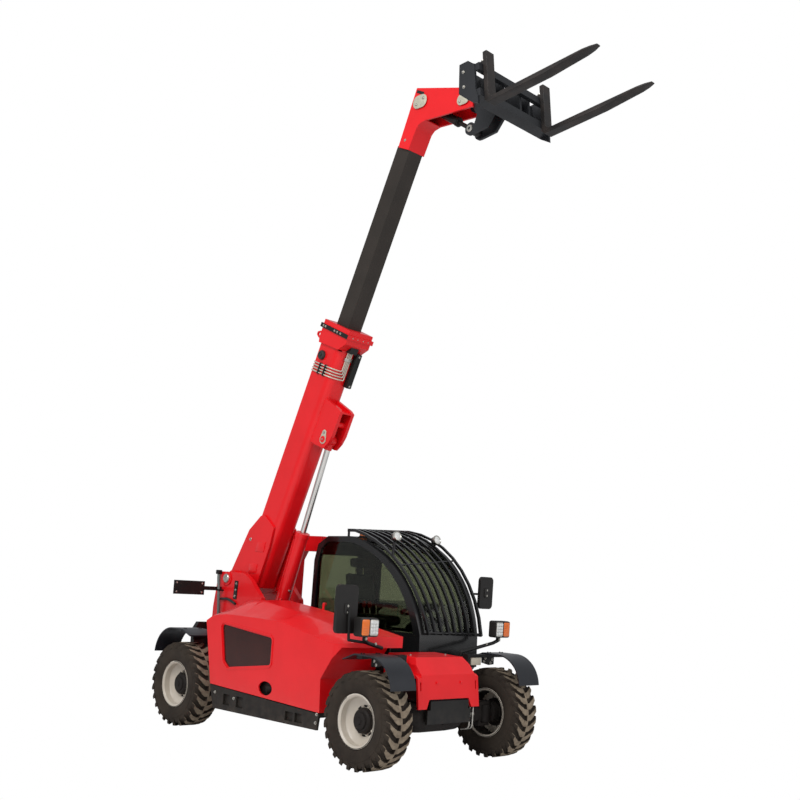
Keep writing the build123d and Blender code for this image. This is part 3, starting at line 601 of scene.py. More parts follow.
# Tyres: a carcass with two rows of lugs that lean towards the tread's middle
tyre = {
    "lugCount": 25,
    "lugHeight": 0.026,
    "lugWidth": 0.055,
    "lugReach": 1.03,
    "crown": 0.86,
    "foot": 1.12,
    "edge": 0.003,
    "dustyFrom": 0.75,
    "steps": 100,
    # along a lug: share of the half width, lead round the tyre, shares of the top's, foot's and lug's size
    "lug": (
        (-0.07, 0.084, 1.0, 0.985, 1.08),
        (0.28, 0.078, 1.0, 0.985, 1.18),
        (0.54, 0.048, 1.0, 0.98, 1.08),
        (0.80, 0.010, 0.992, 0.96, 0.92),
        (0.965, -0.018, 0.935, 0.90, 0.62),
    ),
    # the side wall, from the bead out: shares of the half width and of the radius
    "wall": ((0.80, 0.508), (0.84, 0.565), (0.90, 0.585), (0.97, 0.66), (1.0, 0.75), (0.985, 0.80),
             (0.965, 0.805), (0.95, 0.86)),
    # the shoulder and the tread: shares of the half width and of the radius below the lugs
    "tread": ((0.92, 0.96), (0.80, 0.99), (0.4, 1.0)),
}
wheelNames = ("front_right", "front_left", "rear_right", "rear_left")


def buildLug(spec, way, half, base, radius):
    lowRing, highRing = [], []
    for share, lead, top, foot, width in spec["lug"]:
        w = spec["lugWidth"] * width / 2
        y = way * share * half * spec["lugReach"]
        highRing.append((y, lead - w * spec["crown"], lead + w * spec["crown"], radius * top))
        lowRing.append((y, lead - w * spec["foot"], lead + w * spec["foot"], base * foot))
    last = len(spec["lug"]) - 1
    pick()
    bpy.ops.mesh.primitive_grid_add(x_subdivisions=last, y_subdivisions=1, size=1)
    lug = bpy.context.object
    editAll()
    bpy.ops.mesh.extrude_region_move(TRANSFORM_OT_translate={"value": (0, 0, 1)})
    bpy.ops.object.mode_set(mode="OBJECT")
    for vertex in lug.data.vertices:
        k = round((vertex.co.x + 0.5) * last)
        y, start, end, reach = (highRing if vertex.co.z > 0.5 else lowRing)[k]
        turnBy = (end if vertex.co.y > 0 else start) / radius
        vertex.co = (reach * math.sin(turnBy), y, reach * math.cos(turnBy))
    pick(lug)
    bpy.ops.object.mode_set(mode="EDIT")
    faceOutwards()
    softenEdges(lug, spec["edge"], 1, angle_limit=math.radians(40))
    for finish in ("rubber", "dustyRubber"):
        lug.data.materials.append(finishes[finish])
    for face in lug.data.polygons:
        away = Vector((face.center.x, 0, face.center.z)).normalized()
        face.material_index = 1 if face.normal.dot(away) > spec["dustyFrom"] else 0
    return settle(lug, "lug", None, None, 35.0)


def buildTyre(spec):
    low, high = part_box("tyre_front_right")
    radius = (high.z - low.z) / 2
    half = (high.y - low.y) / 2
    base = radius - spec["lugHeight"]
    wall = [(-half * across, radius * out) for across, out in spec["wall"]]
    wall += [(-half * across, base * out) for across, out in spec["tread"]]
    profile = wall + [(-along, out) for along, out in reversed(wall)] + wall[:1]
    made = [turned("carcass", "rubber", (0, 0, 0), (0, 1, 0), profile, spec["steps"], 40.0, body=None)]
    pitch = 2 * math.pi / spec["lugCount"]
    for way, offset in ((-1, 0.0), (1, 0.5)):
        lug = buildLug(spec, way, half, base, radius)
        made.append(lug)
        pick(lug)
        editAll()
        bpy.ops.transform.rotate(value=-offset * pitch, orient_axis="Y", center_override=(0, 0, 0))
        for _ in range(spec["lugCount"] - 1):
            bpy.ops.mesh.duplicate()
            bpy.ops.transform.rotate(value=-pitch, orient_axis="Y", center_override=(0, 0, 0))
        bpy.ops.object.mode_set(mode="OBJECT")
    return joinPieces("tyreMaster", made)


tyreMaster = buildTyre(tyre)
for name in wheelNames:
    piece = copyOf(tyreMaster)
    piece.location = middle("tyre_" + name)
    settle(piece, camel("tyre_" + name) + "Lugged", None, "wheel_" + name, 0)
    replaceNode("tyre_" + name)
bpy.data.objects.remove(tyreMaster)
print("tyres")

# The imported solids: finish and width of the softened edges
dressed = (
    ("chassis_frame", "blackPaint", 0.003), ("boom_tower", "redPaint", 0.004),
    ("boom_outer", "redPaint", 0.0), ("boom_inner", "boomPaint", 0.006),
    ("fork_carriage", "carriagePaint", 0.004), ("fork_right", "forkSteel", 0.004),
    ("fork_left", "forkSteel", 0.004), ("lift_barrel", "redPaint", 0.003), ("lift_rod", "chromeRod", 0.002),
    ("tilt_barrel", "blackPaint", 0.003), ("tilt_rod", "blackPaint", 0.002),
    ("engine_hood", "redPaint", 0.016), ("side_skirt", "skirtSteel", 0.003),
    ("engine_block", "castIron", 0.012), ("fuel_tank", "blackPaint", 0.012), ("bonnet", "redPaint", 0.008),
    ("fenders", "fenderPlastic", 0.003), ("lamp_arms", "blackPaint", 0.0),
    ("drive_lamps", "mouldedBlack", 0.012), ("mirrors", "mouldedBlack", 0.012),
    ("cab_shell", "glossBlack", 0.008), ("cab_roof", "glossBlack", 0.008),
    ("cab_guard", "glossBlack", 0.003), ("door_frame", "glossBlack", 0.006),
    ("steering_column", "mouldedBlack", 0.006), ("cab_brace", "redPaint", 0.006),
    ("counterweight", "blackPaint", 0.01), ("plate_bracket", "blackPaint", 0.002),
    ("beacon", "amberLens", 0.006), ("front_axle", "castIron", 0.004), ("rear_axle", "castIron", 0.004),
)
skins = {nodeName: dressNode(nodeName, finish, bevel) for nodeName, finish, bevel in dressed}
for nodeName, finish in (("cab_glass", "cabGlass"), ("door_glass", "cabGlass"), ("hood_window", "hoodGlass")):
    nodes[nodeName].data.materials.clear()
    nodes[nodeName].data.materials.append(finishes[finish])


def narrowSkin(piece, middleY, share, test):
    for vertex in piece.data.vertices:
        if test(vertex.co):
            vertex.co.y = middleY + (vertex.co.y - middleY) * share


# The near mirror is narrower than its packed plate
nearMirror = {"middle": -0.965, "share": 0.83, "edge": -0.80}
narrowSkin(skins["mirrors"], nearMirror["middle"], nearMirror["share"],
           lambda place: place.y < nearMirror["edge"])

# The forks taper to round tips; distances run along a fork from its heel
fork = {
    "heel": (1.860, 0, 5.640),
    "lean": math.radians(7.9),
    "taper": 1.02,
    "shoulder": 1.09,
    "shoulderShare": 0.80,
    "tip": 1.13,
    "tipShare": 0.42,
}
forkHeel = spot(*fork["heel"])
forkAlong = Vector((math.cos(fork["lean"]), 0, math.sin(fork["lean"])))
forkUp = Vector((-math.sin(fork["lean"]), 0, math.cos(fork["lean"])))


def alongFork(place):
    return (place - forkHeel).dot(forkAlong)


for name in ("fork_right", "fork_left"):
    pick(skins[name])
    for reach in (fork["taper"], fork["shoulder"]):
        editAll()
        bpy.ops.mesh.bisect(plane_co=forkHeel + forkAlong * reach, plane_no=forkAlong)
    bpy.ops.object.mode_set(mode="OBJECT")
    centre = middle(name).y
    narrowSkin(skins[name], centre, fork["shoulderShare"],
               lambda place: abs(alongFork(place) - fork["shoulder"]) < 0.01)
    narrowSkin(skins[name], centre, fork["tipShare"], lambda place: alongFork(place) > fork["tip"])

# The boom's own directions: along it, and back from it, square to it
boomPivot = Vector(joints["boom_lift"]["pos_m"])
boomAlong = Vector(joints["boom_extend"]["axis"]).normalized()
boomBack = Vector((-boomAlong.z, 0, boomAlong.x))


def boomSpot(along, back, y):
    return boomPivot + boomAlong * along + boomBack * back + sideways(y)


def alongBoom(place):
    return (place - boomPivot).dot(boomAlong)


# The head is red above the bare run of the inner boom; the collar's band is black at its sides
bands = {"head": 4.66, "collar": (2.78, 2.85), "collarEdge": 0.150, "collarFace": 0.166}


def onCollarSide(place, facing):
    low, high = bands["collar"]
    edge = abs(place.y) > bands["collarEdge"] and abs(facing.y) < 0.99
    return low < alongBoom(place) < high and (edge or abs(place.y) > bands["collarFace"])


paintWhere(skins["boom_inner"], "redPaint", lambda place, facing: alongBoom(place) > bands["head"])
paintWhere(skins["boom_outer"], "blackPaint", onCollarSide)

# Wheels: cast hub, painted shade on the faces set back in the dish, pale rim
dish = {"hub": 0.107, "outer": 0.2, "depth": 0.018}


def paintRim(rim, hub, spec):
    out = 1 if hub.y > 0 else -1

    def fromHub(place):
        return Vector((place.x - hub.x, 0, place.z - hub.z)).length

    def inDishShade(place, facing):
        return (place.y - hub.y) * out < spec["depth"] and spec["hub"] < fromHub(place) < spec["outer"]

    paintWhere(rim, "castIron", lambda place, facing: fromHub(place) < spec["hub"])
    # The faces set back in the dish round the hub get black paint: painted shade in the deep dish
    paintWhere(rim, "blackPaint", inDishShade)


for name in wheelNames:
    dressNode("knuckle_" + name, "castIron", 0.004)
    paintRim(dressNode("rim_" + name, "rimPaint", 0.002), middle("rim_" + name), dish)
print("packed solids dressed")

# The collar: its bolts, the pipes that wrap round the boom, their clamps and block, and the hoses' guard
collar = {
    "boltAlong": 2.814,
    "boltBack": (-0.02, -0.055, -0.21, -0.255, -0.31),
    "side": 0.168,
    "lowBack": -0.429,
    "lowSides": (-0.10, -0.035, 0.035, 0.10),
    "grommet": (2.534, -0.105, -0.128),
    "grommetProfile": ((-0.002, 0.047), (0.018, 0.047), (0.026, 0.04324), (0.030, 0.02914), (0.024, 0.02632),
                       (0.024, 0.0141), (0.032, 0.01222), (0.034, 0.0)),
    "guardBolts": ((2.335, -0.392, 0.094), (2.645, -0.392, 0.094)),
    # name, finish, along, back, y, edge
    "blocks": (
        ("pipeClampSide", "blackPaint", (2.345, 2.462), (-0.150, -0.128), (-0.150, -0.126), 0.003),
        ("pipeClampSideLow", "blackPaint", (2.350, 2.468), (-0.235, -0.213), (-0.150, -0.126), 0.003),
        ("pipeClampUnder", "zincSteel", (2.565, 2.600), (-0.358, -0.334), (-0.044, 0.046), 0.003),
        ("pipeBlock", "mouldedBlack", (2.655, 2.725), (-0.398, -0.333), (-0.050, 0.050), 0.006),
        ("hoseGuard", "blackPaint", (2.31, 2.67), (-0.392, -0.325), (0.062, 0.126), 0.008),
    ),
}
for side, way in sides:
    places = [boomSpot(collar["boltAlong"], back, way * collar["side"]) for back in collar["boltBack"]]
    addBolts("collarBolts" + side, places, (0, way, 0), 0.008, body="boom")
places = [boomSpot(collar["boltAlong"], collar["lowBack"], y) for y in collar["lowSides"]]
addBolts("collarBoltsLow", places, -boomBack, 0.006, body="boom")
turned("boomGrommet", "hoseRubber", boomSpot(*collar["grommet"]), (0, -1, 0), collar["grommetProfile"], 40,
       body="boom")
for name, finish, along, back, y, edge in collar["blocks"]:
    corners = ((along[0], back[0]), (along[1], back[0]), (along[1], back[1]), (along[0], back[1]))
    plate(name, finish, [boomSpot(a, b, y[0]) for a, b in corners], sideways(y[1] - y[0]), edge,
          body="boom")
addBolts("hoseGuardBolts", [boomSpot(*place) for place in collar["guardBolts"]], -boomBack, 0.007,
         body="boom")

# Four pipes run down the boom's near side, turn under it and on to the block
wrap = {"top": 2.443, "pitch": 0.029, "end": 2.665, "side": -0.139, "under": -0.346, "bend": 0.089,
        "inner": (-0.024, 0.018), "radius": 0.0072, "corner": 0.012}


def wrapPath(k, spec):
    start = spec["top"] - k * spec["pitch"]
    first, step = spec["inner"]
    bendBack, bendSide = spec["under"] + spec["bend"], spec["side"] + spec["bend"]
    path = [boomSpot(start, -0.03, spec["side"]), boomSpot(start + 0.012, bendBack - 0.005, spec["side"])]
    for turn in (30, 60, 90):
        t = math.radians(turn)
        path.append(boomSpot(start + 0.014, bendBack - spec["bend"] * math.sin(t),
                             bendSide - spec["bend"] * math.cos(t)))
    inner = first + step * k
    return path + [boomSpot(start + 0.015, spec["under"], inner), boomSpot(spec["end"], spec["under"], inner)]


for k in range(4):
    pipe("collarPipe%d" % k, "palePipe", wrapPath(k, wrap), wrap["radius"], wrap["corner"], body="boom")

# Curved walls over the outer boom's two lower corners
boomCorner = {"radius": 0.080, "side": 0.128, "low": -0.335, "start": 0.062, "end": 2.645, "skin": 0.0006,
              "wall": 0.008, "points": 13, "step": 8, "lead": -3}


def buildBoomCorner(spec, side, way):
    reach = spec["radius"] + spec["skin"]
    points = []
    for k in range(spec["points"]):
        turn = math.radians(spec["lead"] + spec["step"] * k)
        y = spec["side"] - spec["radius"] + reach * math.sin(turn)
        back = spec["low"] + spec["radius"] - reach * math.cos(turn)
        points.append(boomSpot(spec["start"], back, way * y))
    strip = chain(points)
    run = boomAlong * (spec["end"] - spec["start"])
    bpy.ops.mesh.extrude_region_move(TRANSFORM_OT_translate={"value": run})
    faceOutwards()
    outward = boomSpot(0, -1, way) - boomPivot
    if strip.data.polygons[spec["points"] // 2].normal.dot(outward) < 0:
        strip.data.flip_normals()
    useModifier(strip, "SOLIDIFY", thickness=spec["wall"], offset=-1)
    return settle(strip, "boomCorner" + side, "redPaint", "boom", 40.0)


for side, way in sides:
    buildBoomCorner(boomCorner, side, way)

# Raised pads on the base cheeks, the cylinder lug's pin plates and the boom's pivot caps
cheek = {
    "face": 0.147,
    "proud": 0.007,
    "bolt": (0.455, 0.004, 0.148),
    "pads": (
        ((0.487, -0.131), (0.536, -0.250), (0.432, -0.268), (0.381, -0.132)),
        ((0.227, -0.115), (0.284, -0.236), (0.189, -0.257), (0.132, -0.140)),
    ),
}
lugPin = {"along": 1.78, "back": -0.5, "face": 0.0925, "thick": 0.007, "bigEnd": 0.047, "smallEnd": 0.030,
          "smallAt": (0.066, 0.012)}
pivotCap = {"side": 0.282, "radius": 0.046, "proud": 0.016}


# Points round a pin's plate, whose smaller end lies further along the boom
def teardrop(spec, way):
    points = []
    for k in range(24):
        turn = math.radians(15 * k)
        small = math.cos(turn) > 0.2
        reach = spec["smallEnd"] if small else spec["bigEnd"]
        shift, rise = spec["smallAt"] if small else (0, 0)
        points.append(boomSpot(spec["along"] + shift + reach * math.cos(turn),
                               spec["back"] + rise + reach * math.sin(turn), way * spec["face"]))
    return points


for side, way in sides:
    for k, pad in enumerate(cheek["pads"]):
        points = [boomSpot(a, b, way * cheek["face"]) for a, b in pad]
        plate("cheekPad%s%d" % (side, k), "redPaint", points, sideways(way * cheek["proud"]), body="boom")
    along, back, y = cheek["bolt"]
    addBolts("cheekBolt" + side, [boomSpot(along, back, way * y)], (0, way, 0), 0.011, body="boom")
    plate("lugPinPlate" + side, "palePlate", teardrop(lugPin, way), sideways(way * lugPin["thick"]), 0.002,
          body="boom")
    boltY = way * (lugPin["face"] + lugPin["thick"] - 0.0005)
    bolts = [boomSpot(lugPin["along"] + run, lugPin["back"] + rise, boltY)
             for run, rise in ((0, 0), lugPin["smallAt"])]
    addBolts("lugPinBolts" + side, bolts, (0, way, 0), 0.010, body="boom")
    pinCap("pivotCap" + side, boomPivot + sideways(way * pivotCap["side"]), way, pivotCap["radius"],
           pivotCap["proud"])

# Lift cylinder: a thin pipe along its back, a port and the gland; distances run from its foot to its eye
lift = {
    "pipe": ((0.17, 0.063, -0.02), (0.17, 0.084, -0.02), (1.10, 0.084, -0.02), (1.10, 0.062, -0.02)),
    "port": ((0.60, -0.062, -0.015), (0.60, -0.086, -0.015)),
    "gland": 1.196,
    "glandProfile": ((-0.006, 0.060), (0.001, 0.060), (0.003, 0.056), (0.003, 0.040), (-0.004, 0.038)),
    "redEye": 0.13,
}
liftFoot = Vector(joints["lift_barrel_swing"]["pos_m"])
liftEye = boomSpot(lugPin["along"], lugPin["back"], 0)
liftWay = (liftEye - liftFoot).normalized()
liftBack = Vector((-liftWay.z, 0, liftWay.x))


def liftSpot(along, back, y):
    return liftFoot + liftWay * along + liftBack * back + sideways(y)


def onLiftEye(place, facing):
    return Vector((place.x - liftEye.x, 0, place.z - liftEye.z)).length < lift["redEye"]


pipe("liftPipe", "redPaint", [liftSpot(*place) for place in lift["pipe"]], 0.008, 0.016, body="lift_barrel")
pipe("liftPort", "zincSteel", [liftSpot(*place) for place in lift["port"]], 0.011, 0.01, body="lift_barrel")
turned("liftGland", "blackPaint", liftSpot(lift["gland"], 0, 0), liftWay, lift["glandProfile"],
       body="lift_barrel")
paintWhere(skins["lift_rod"], "redPaint", onLiftEye)
print("boom details")

# The head: oval plates over its two pins, a slot, a bolt and the tilt cylinder's fittings
head = {
    "pins": (("tiltBasePin", 0.717, 6.081, 0.058), ("carriagePinNear", 1.285, 5.955, 0.048)),
    "face": 0.1135,
    "thick": 0.006,
    "overlap": 1.12,
    "stretch": 0.45,
    "boltShare": 0.75,
    "slot": ((0.664, 6.212), (0.757, 6.166), (0.746, 6.141), (0.653, 6.187)),
    "slotFace": 0.1052,
    "bolt": (0.538, 0.105, 5.747),
}
tilt = {
    "base": (0.717, 0, 6.081),
    "eye": (1.360, 0, 5.670),
    "eyeSide": 0.078,
    "gland": 0.503,
    "glandProfile": ((0, 0.038), (0.008, 0.038), (0.011, 0.034), (0.011, 0.022), (0.003, 0.021)),
}
tiltBase, tiltEye = spots(tilt["base"], tilt["eye"])
tiltWay = (tiltEye - tiltBase).normalized()
for side, way in sides:
    for label, x, z, radius in head["pins"]:
        oval = []
        for k in range(24):
            turn = math.radians(15 * k)
            shift = radius * math.copysign(head["stretch"], math.cos(turn))
            reach = radius * head["overlap"]
            oval.append(spot(x + shift + reach * math.cos(turn), way * head["face"],
                             z + reach * math.sin(turn)))
        plate(label + "Plate" + side, "palePlate", oval, sideways(way * head["thick"]), 0.002,
              body="boom_slide")
        bolts = [spot(x + share * radius, way * (head["face"] + head["thick"]), z + share * radius / 2)
                 for share in (-head["boltShare"], head["boltShare"])]
        addBolts(label + "Bolts" + side, bolts, (0, way, 0), 0.009, body="boom_slide")
    slot = [spot(x, way * head["slotFace"], z) for x, z in head["slot"]]
    plate("headSlot" + side, "mouldedBlack", slot, sideways(way * 0.003), 0.001, body="boom_slide")
    x, y, z = head["bolt"]
    addBolts("headBolts" + side, [spot(x, way * y, z)], (0, way, 0), 0.009, body="boom_slide")
    pinCap("tiltEyePin" + side, tiltEye + sideways(way * tilt["eyeSide"]), way, 0.034, 0.014,
           body="carriage")
turned("tiltGland", "mouldedBlack", tiltBase + tiltWay * tilt["gland"], tiltWay, tilt["glandProfile"], 40,
       body="tilt_barrel")
print("head details")

# Cushions: a soft block is swelled as cloth, and its seams are pressed in
padding = {"pressure": 4, "frames": 20, "cap": 0.012, "voxel": 0.008, "seamWidth": 0.011, "seamDepth": 0.006,
           "shrink": 0.02, "corner": 0.3}


def swell(piece, spec):
    rest = [vertex.co.copy() for vertex in piece.data.vertices]
    cloth = piece.modifiers.new("swell", "CLOTH")
    cloth.settings.use_pressure = True
    cloth.settings.uniform_pressure_force = spec["pressure"]
    cloth.settings.effector_weights.gravity = 0
    cloth.point_cache.frame_start, cloth.point_cache.frame_end = 1, spec["frames"]
    for moment in range(1, spec["frames"] + 1):
        bpy.context.scene.frame_set(moment)
    shown = piece.evaluated_get(bpy.context.evaluated_depsgraph_get())
    swollen = [vertex.co.copy() for vertex in shown.data.vertices]
    piece.modifiers.remove(cloth)
    for vertex, before, after in zip(piece.data.vertices, rest, swollen):
        step = after - before
        vertex.co = before + step * min(1.0, spec["cap"] / max(step.length, 0.0001))
    bpy.context.scene.frame_set(1)


def cushion(name, centre, size, lean, seams, spec):
    pick()
    core = Vector(size) - Vector((spec["shrink"],) * 3)
    bpy.ops.mesh.primitive_cube_add(size=1, location=centre, scale=core, rotation=(0, -lean, 0))
    piece = bpy.context.object
    bpy.ops.object.transform_apply()
    softenEdges(piece, min(size) * spec["corner"], 4)
    pick(piece)
    piece.data.remesh_voxel_size = spec["voxel"]
    bpy.ops.object.voxel_remesh()
    swell(piece, spec)
    turnBack = Matrix.Rotation(lean, 3, "Y")
    normals = [vertex.normal.copy() for vertex in piece.data.vertices]
    for vertex, normal in zip(piece.data.vertices, normals):
        local = turnBack @ (vertex.co - centre)
        near = min(abs(local[axis] - value) for axis, value in seams)
        if near < spec["seamWidth"]:
            vertex.co -= normal * spec["seamDepth"] * (1 - near / spec["seamWidth"])
    useModifier(piece, "SUBSURF", levels=1)
    settle(piece, name, "seatCloth", "chassis", 60.0)
    return piece


# Seat: three cushions on a box, with armrests and the headrest's rods
seat = {
    "y": 0.52,
    # name, middle, size, lean in degrees, seams as (axis, place)
    "cushions": (
        ("seatCushion", (-0.09, 0.52, 1.147), (0.47, 0.39, 0.10), 0.0,
         ((1, -0.11), (1, 0.11), (0, -0.09), (0, 0.08))),
        ("seatBack", (-0.322, 0.52, 1.41), (0.095, 0.39, 0.40), 10.1,
         ((1, -0.11), (1, 0.11), (2, 0.03), (2, -0.09))),
        ("seatHeadrest", (-0.371, 0.52, 1.70), (0.085, 0.24, 0.115), 10.1, ((1, -0.09), (1, 0.09))),
    ),
    "base": ((-0.25, 0.41, 0.773), (0.07, 0.63, 1.095)),
    "rodSide": 0.05,
    "rod": ((-0.352, 1.58), (-0.366, 1.66)),
    "arm": (-0.16, 0.225, 1.29),
    "armStay": ((-0.27, 0.19, 1.24), (-0.27, 0.245, 1.24), (-0.24, 0.245, 1.29)),
}
for name, centre, size, lean, seams in seat["cushions"]:
    cushion(name, spot(*centre), size, math.radians(lean), seams, padding)
seatBase = box("seatBase", "mouldedBlack", *spots(*seat["base"]), 0.02)
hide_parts("seat")
for side, way in sides:
    rod = [spot(x, seat["y"] + way * seat["rodSide"], z) for x, z in seat["rod"]]
    pipe("headrestRod" + side, "zincSteel", rod, 0.006)
    x, out, z = seat["arm"]
    panel("seatArm" + side, "mouldedBlack", spot(x, seat["y"] + way * out, z), (0, way, 0), (0.27, 0.05),
          0.02, 0.04, 0.008)
    stay = [spot(x, seat["y"] + way * out, z) for x, out, z in seat["armStay"]]
    pipe("seatArmStay" + side, "mouldedBlack", stay, 0.011)

# Controls: dashboard, screen, console, levers and pedals
controls = {
    # name, finish, place, size, corner radius, depth, edge
    "panels": (
        ("dashboard", "mouldedBlack", (0.655, 0.52, 1.13), (0.42, 0.20), 0.05, 0.05, 0.012),
        ("dashScreen", "hoodGlass", (0.628, 0.52, 1.168), (0.20, 0.09), 0.015, 0.004, 0.002),
    ),
    "facing": (-0.6, 0, 0.8),
    "up": (0.8, 0, 0.6),
    # x, height and knob of each lever
    "levers": ((0.22, 0.13, "mouldedBlack"), (0.13, 0.10, "knobRed"), (0.05, 0.10, "knobRed")),
    "leverFoot": (0.262, 1.18),
    "boot": ((0, 0.030), (0.010, 0.024), (0.014, 0.027), (0.026, 0.018), (0.034, 0.009)),
    "knob": ((-0.012, 0.008), (0.0, 0.019), (0.022, 0.023), (0.045, 0.017), (0.052, 0.0)),
    "pedals": (0.40, 0.64),
    "pedalArm": ((0.76, 0.78), (0.72, 0.87)),
    "console": (0.02, 0.262, 1.02),
    "hubAt": (0.5425, 0.52, 1.2958),
    "hubAxis": (-0.29, 0, 0.957),
    "wheelHub": ((0.0, 0.046), (0.010, 0.045), (0.016, 0.036), (0.018, 0.0)),
}
for name, finish, place, size, radius, depth, edge in controls["panels"]:
    panel(name, finish, spot(*place), controls["facing"], size, radius, depth, edge, up=controls["up"])
panel("sideConsole", "mouldedBlack", spot(*controls["console"]), upward, (0.11, 0.62), 0.04, 0.16, 0.02,
      up=forward)
for k, (x, height, finish) in enumerate(controls["levers"]):
    y, z = controls["leverFoot"]
    foot, top = spots((x, y, z), (x - 0.02, y, z + height))
    pipe("lever%d" % k, "zincSteel", [foot, top], 0.006)
    turned("leverBoot%d" % k, "hoseRubber", foot, upward, controls["boot"], 24)
    turned("leverKnob%d" % k, finish, top, upward, controls["knob"], 24)
for k, y in enumerate(controls["pedals"]):
    arm = [spot(x, y, z) for x, z in controls["pedalArm"]]
    panel("pedal%d" % k, "castIron", arm[-1], (-0.8, 0, 0.6), (0.07, 0.11), 0.012, 0.008, up=(0.6, 0, 0.8))
    pipe("pedalArm%d" % k, "blackPaint", arm, 0.008)
turned("wheelHub", "mouldedBlack", spot(*controls["hubAt"]), controls["hubAxis"], controls["wheelHub"], 32)
print("seat and controls")

# Mirrors: a glass on the rear face, a socket and its bolts on the front
mirrors = {
    # side, rear face's middle, glass
    "plates": (
        ("Near", (1.160, -0.977, 1.300), (0.195, 0.37)),
        ("Far", (0.908, 1.0225, 1.485), (0.155, 0.28)),
    ),
    "glassAt": 0.001,
    "socketAt": 0.031,
    "boltAt": 0.041,
    "boltRise": 0.026,
    "socket": (0.07, 0.09),
}
for side, (x, y, z), size in mirrors["plates"]:
    panel("mirrorGlass" + side, "mirrorGlass", spot(x + mirrors["glassAt"], y, z), behind, size, 0.035,
          0.003, 0.001)
    panel("mirrorSocket" + side, "mouldedBlack", spot(x + mirrors["socketAt"], y, z), forward,
          mirrors["socket"], 0.02, 0.010, 0.003)
    places = [spot(x + mirrors["boltAt"], y, z + k * mirrors["boltRise"]) for k in (-1, 1)]
    addBolts("mirrorBolts" + side, places, forward, 0.006)

# Drive lamps: amber outboard, white cells inboard; red tail lamps
lamp = {
    "front": 1.330,
    "z": 1.1615,
    # name, finish, y, step out of the front, size, corner radius, depth, edge
    "panels": (
        ("lampBezel", "glossBlack", 0.84, -0.002, (0.196, 0.151), 0.02, 0.005, 0.002),
        ("lampAmber", "amberLens", 0.889, 0.002, (0.080, 0.130), 0.014, 0.007, 0.003),
        ("lampClear", "zincSteel", 0.793, 0.002, (0.090, 0.130), 0.014, 0.003, 0.001),
    ),
    "ribY": 0.889,
    "ribHalf": 0.034,
    "ribDepth": (0.008, 0.0105),
    "ribZ": (1.112, 1.132, 1.152, 1.172, 1.192, 1.206),
    "ribHeight": 0.006,
    "cellY": 0.793,
    "cellHalf": 0.013,
    "cellDepth": (0.004, 0.011),
    "cellsAcross": (-0.028, 0.0, 0.028),
    "cellsUp": (-0.042, -0.014, 0.014, 0.042),
    "footBolts": ((1.296, 0.84, 1.067), (1.264, 0.70, 1.022)),
    "tail": (-1.890, 0.345, 0.83),
}


# A small block on a lamp's front, given by its middle, half width, low and high edges
def lampBlock(finish, depth, y, half, low, high, edge, segments):
    near, far = (lamp["front"] + reach for reach in depth)
    return box("block", finish, spot(near, y - half, low), spot(far, y + half, high), edge, segments,
               body=None)


for side, way in sides:
    for name, finish, y, step, size, radius, depth, edge in lamp["panels"]:
        place = spot(lamp["front"] + step, way * y, lamp["z"])
        panel(name + side, finish, place, forward, size, radius, depth, edge)
    ribs = [lampBlock("amberLens", lamp["ribDepth"], way * lamp["ribY"], lamp["ribHalf"], z,
                      z + lamp["ribHeight"], 0.001, 1) for z in lamp["ribZ"]]
    joinPieces("lampRibs" + side, ribs, "chassis")
    half = lamp["cellHalf"]
    cells = [lampBlock("clearLens", lamp["cellDepth"], way * lamp["cellY"] + a, half, lamp["z"] + b - half,
                       lamp["z"] + b + half, 0.004, 2) for a in lamp["cellsAcross"] for b in lamp["cellsUp"]]
    joinPieces("lampCells" + side, cells, "chassis")
    places = [spot(x, way * y, z) for x, y, z in lamp["footBolts"]]
    addBolts("lampFootBolts" + side, places, forward, 0.008)
    x, y, z = lamp["tail"]
    panel("tailRed" + side, "redLens", spot(x, way * y, z), behind, (0.10, 0.052), 0.01, 0.006)

# Work lamps on the guard, and the beacon's base
workLamp = {
    "x": 0.4325,
    "z": 1.9745,
    "sides": (0.260, 0.810),
    "facing": (0.92, 0, 0.38),
    "ring": ((-0.020, 0.0455), (-0.004, 0.049), (0.006, 0.048), (0.008, 0.042), (0.003, 0.038), (0.0, 0.0)),
    "lens": ((0.002, 0.039), (0.007, 0.030), (0.010, 0.016), (0.011, 0.0)),
}
for k, y in enumerate(workLamp["sides"]):
    place = spot(workLamp["x"], y, workLamp["z"])
    turned("workLampRing%d" % k, "zincSteel", place, workLamp["facing"], workLamp["ring"], 40)
    turned("workLampLens%d" % k, "clearLens", place, workLamp["facing"], workLamp["lens"], 40)
beaconBase = {
    "place": (-0.13, 0.33, 1.962),
    "profile": ((-0.012, 0.046), (0.0, 0.046), (0.006, 0.042), (0.006, 0.0)),
}
turned("beaconBase", "mouldedBlack", spot(*beaconBase["place"]), upward, beaconBase["profile"], 40)
print("lamps and mirrors")

# Front: bonnet bolts and seam, two bent pipes with their nuts, and the relay box
front = {
    "lean": (0.992, 0, 0.124),
    "noseBolts": ((1.4735, -0.15, 0.71), (1.4735, 0.15, 0.71)),
    "deckLean": (0.03, 0, 1),
    "deckBolts": ((1.20, -0.22, 0.9195), (1.20, 0.22, 0.9195)),
    "seam": ((1.138, -0.24, 0.9195), (1.141, 0.24, 0.9222)),
    "pipes": (0.316, 0.358),
    "pipeRun": ((1.40, 0.50), (1.45, 0.50), (1.45, 0.30), (1.36, 0.28)),
    "nutAt": (1.45, 0.44),
    "nut": ((0.0, 0.009), (0.002, 0.015), (0.022, 0.015), (0.024, 0.011), (0.036, 0.011), (0.037, 0.009)),
    "relayBox": ((1.262, 0.44, 0.835), (1.322, 0.575, 0.906)),
}
addBolts("bonnetBolts", spots(*front["noseBolts"]), front["lean"], 0.011, "redPaint")
addBolts("bonnetDeckBolts", spots(*front["deckBolts"]), front["deckLean"], 0.008)
box("bonnetSeam", "mouldedBlack", *spots(*front["seam"]), 0.0005, 1)
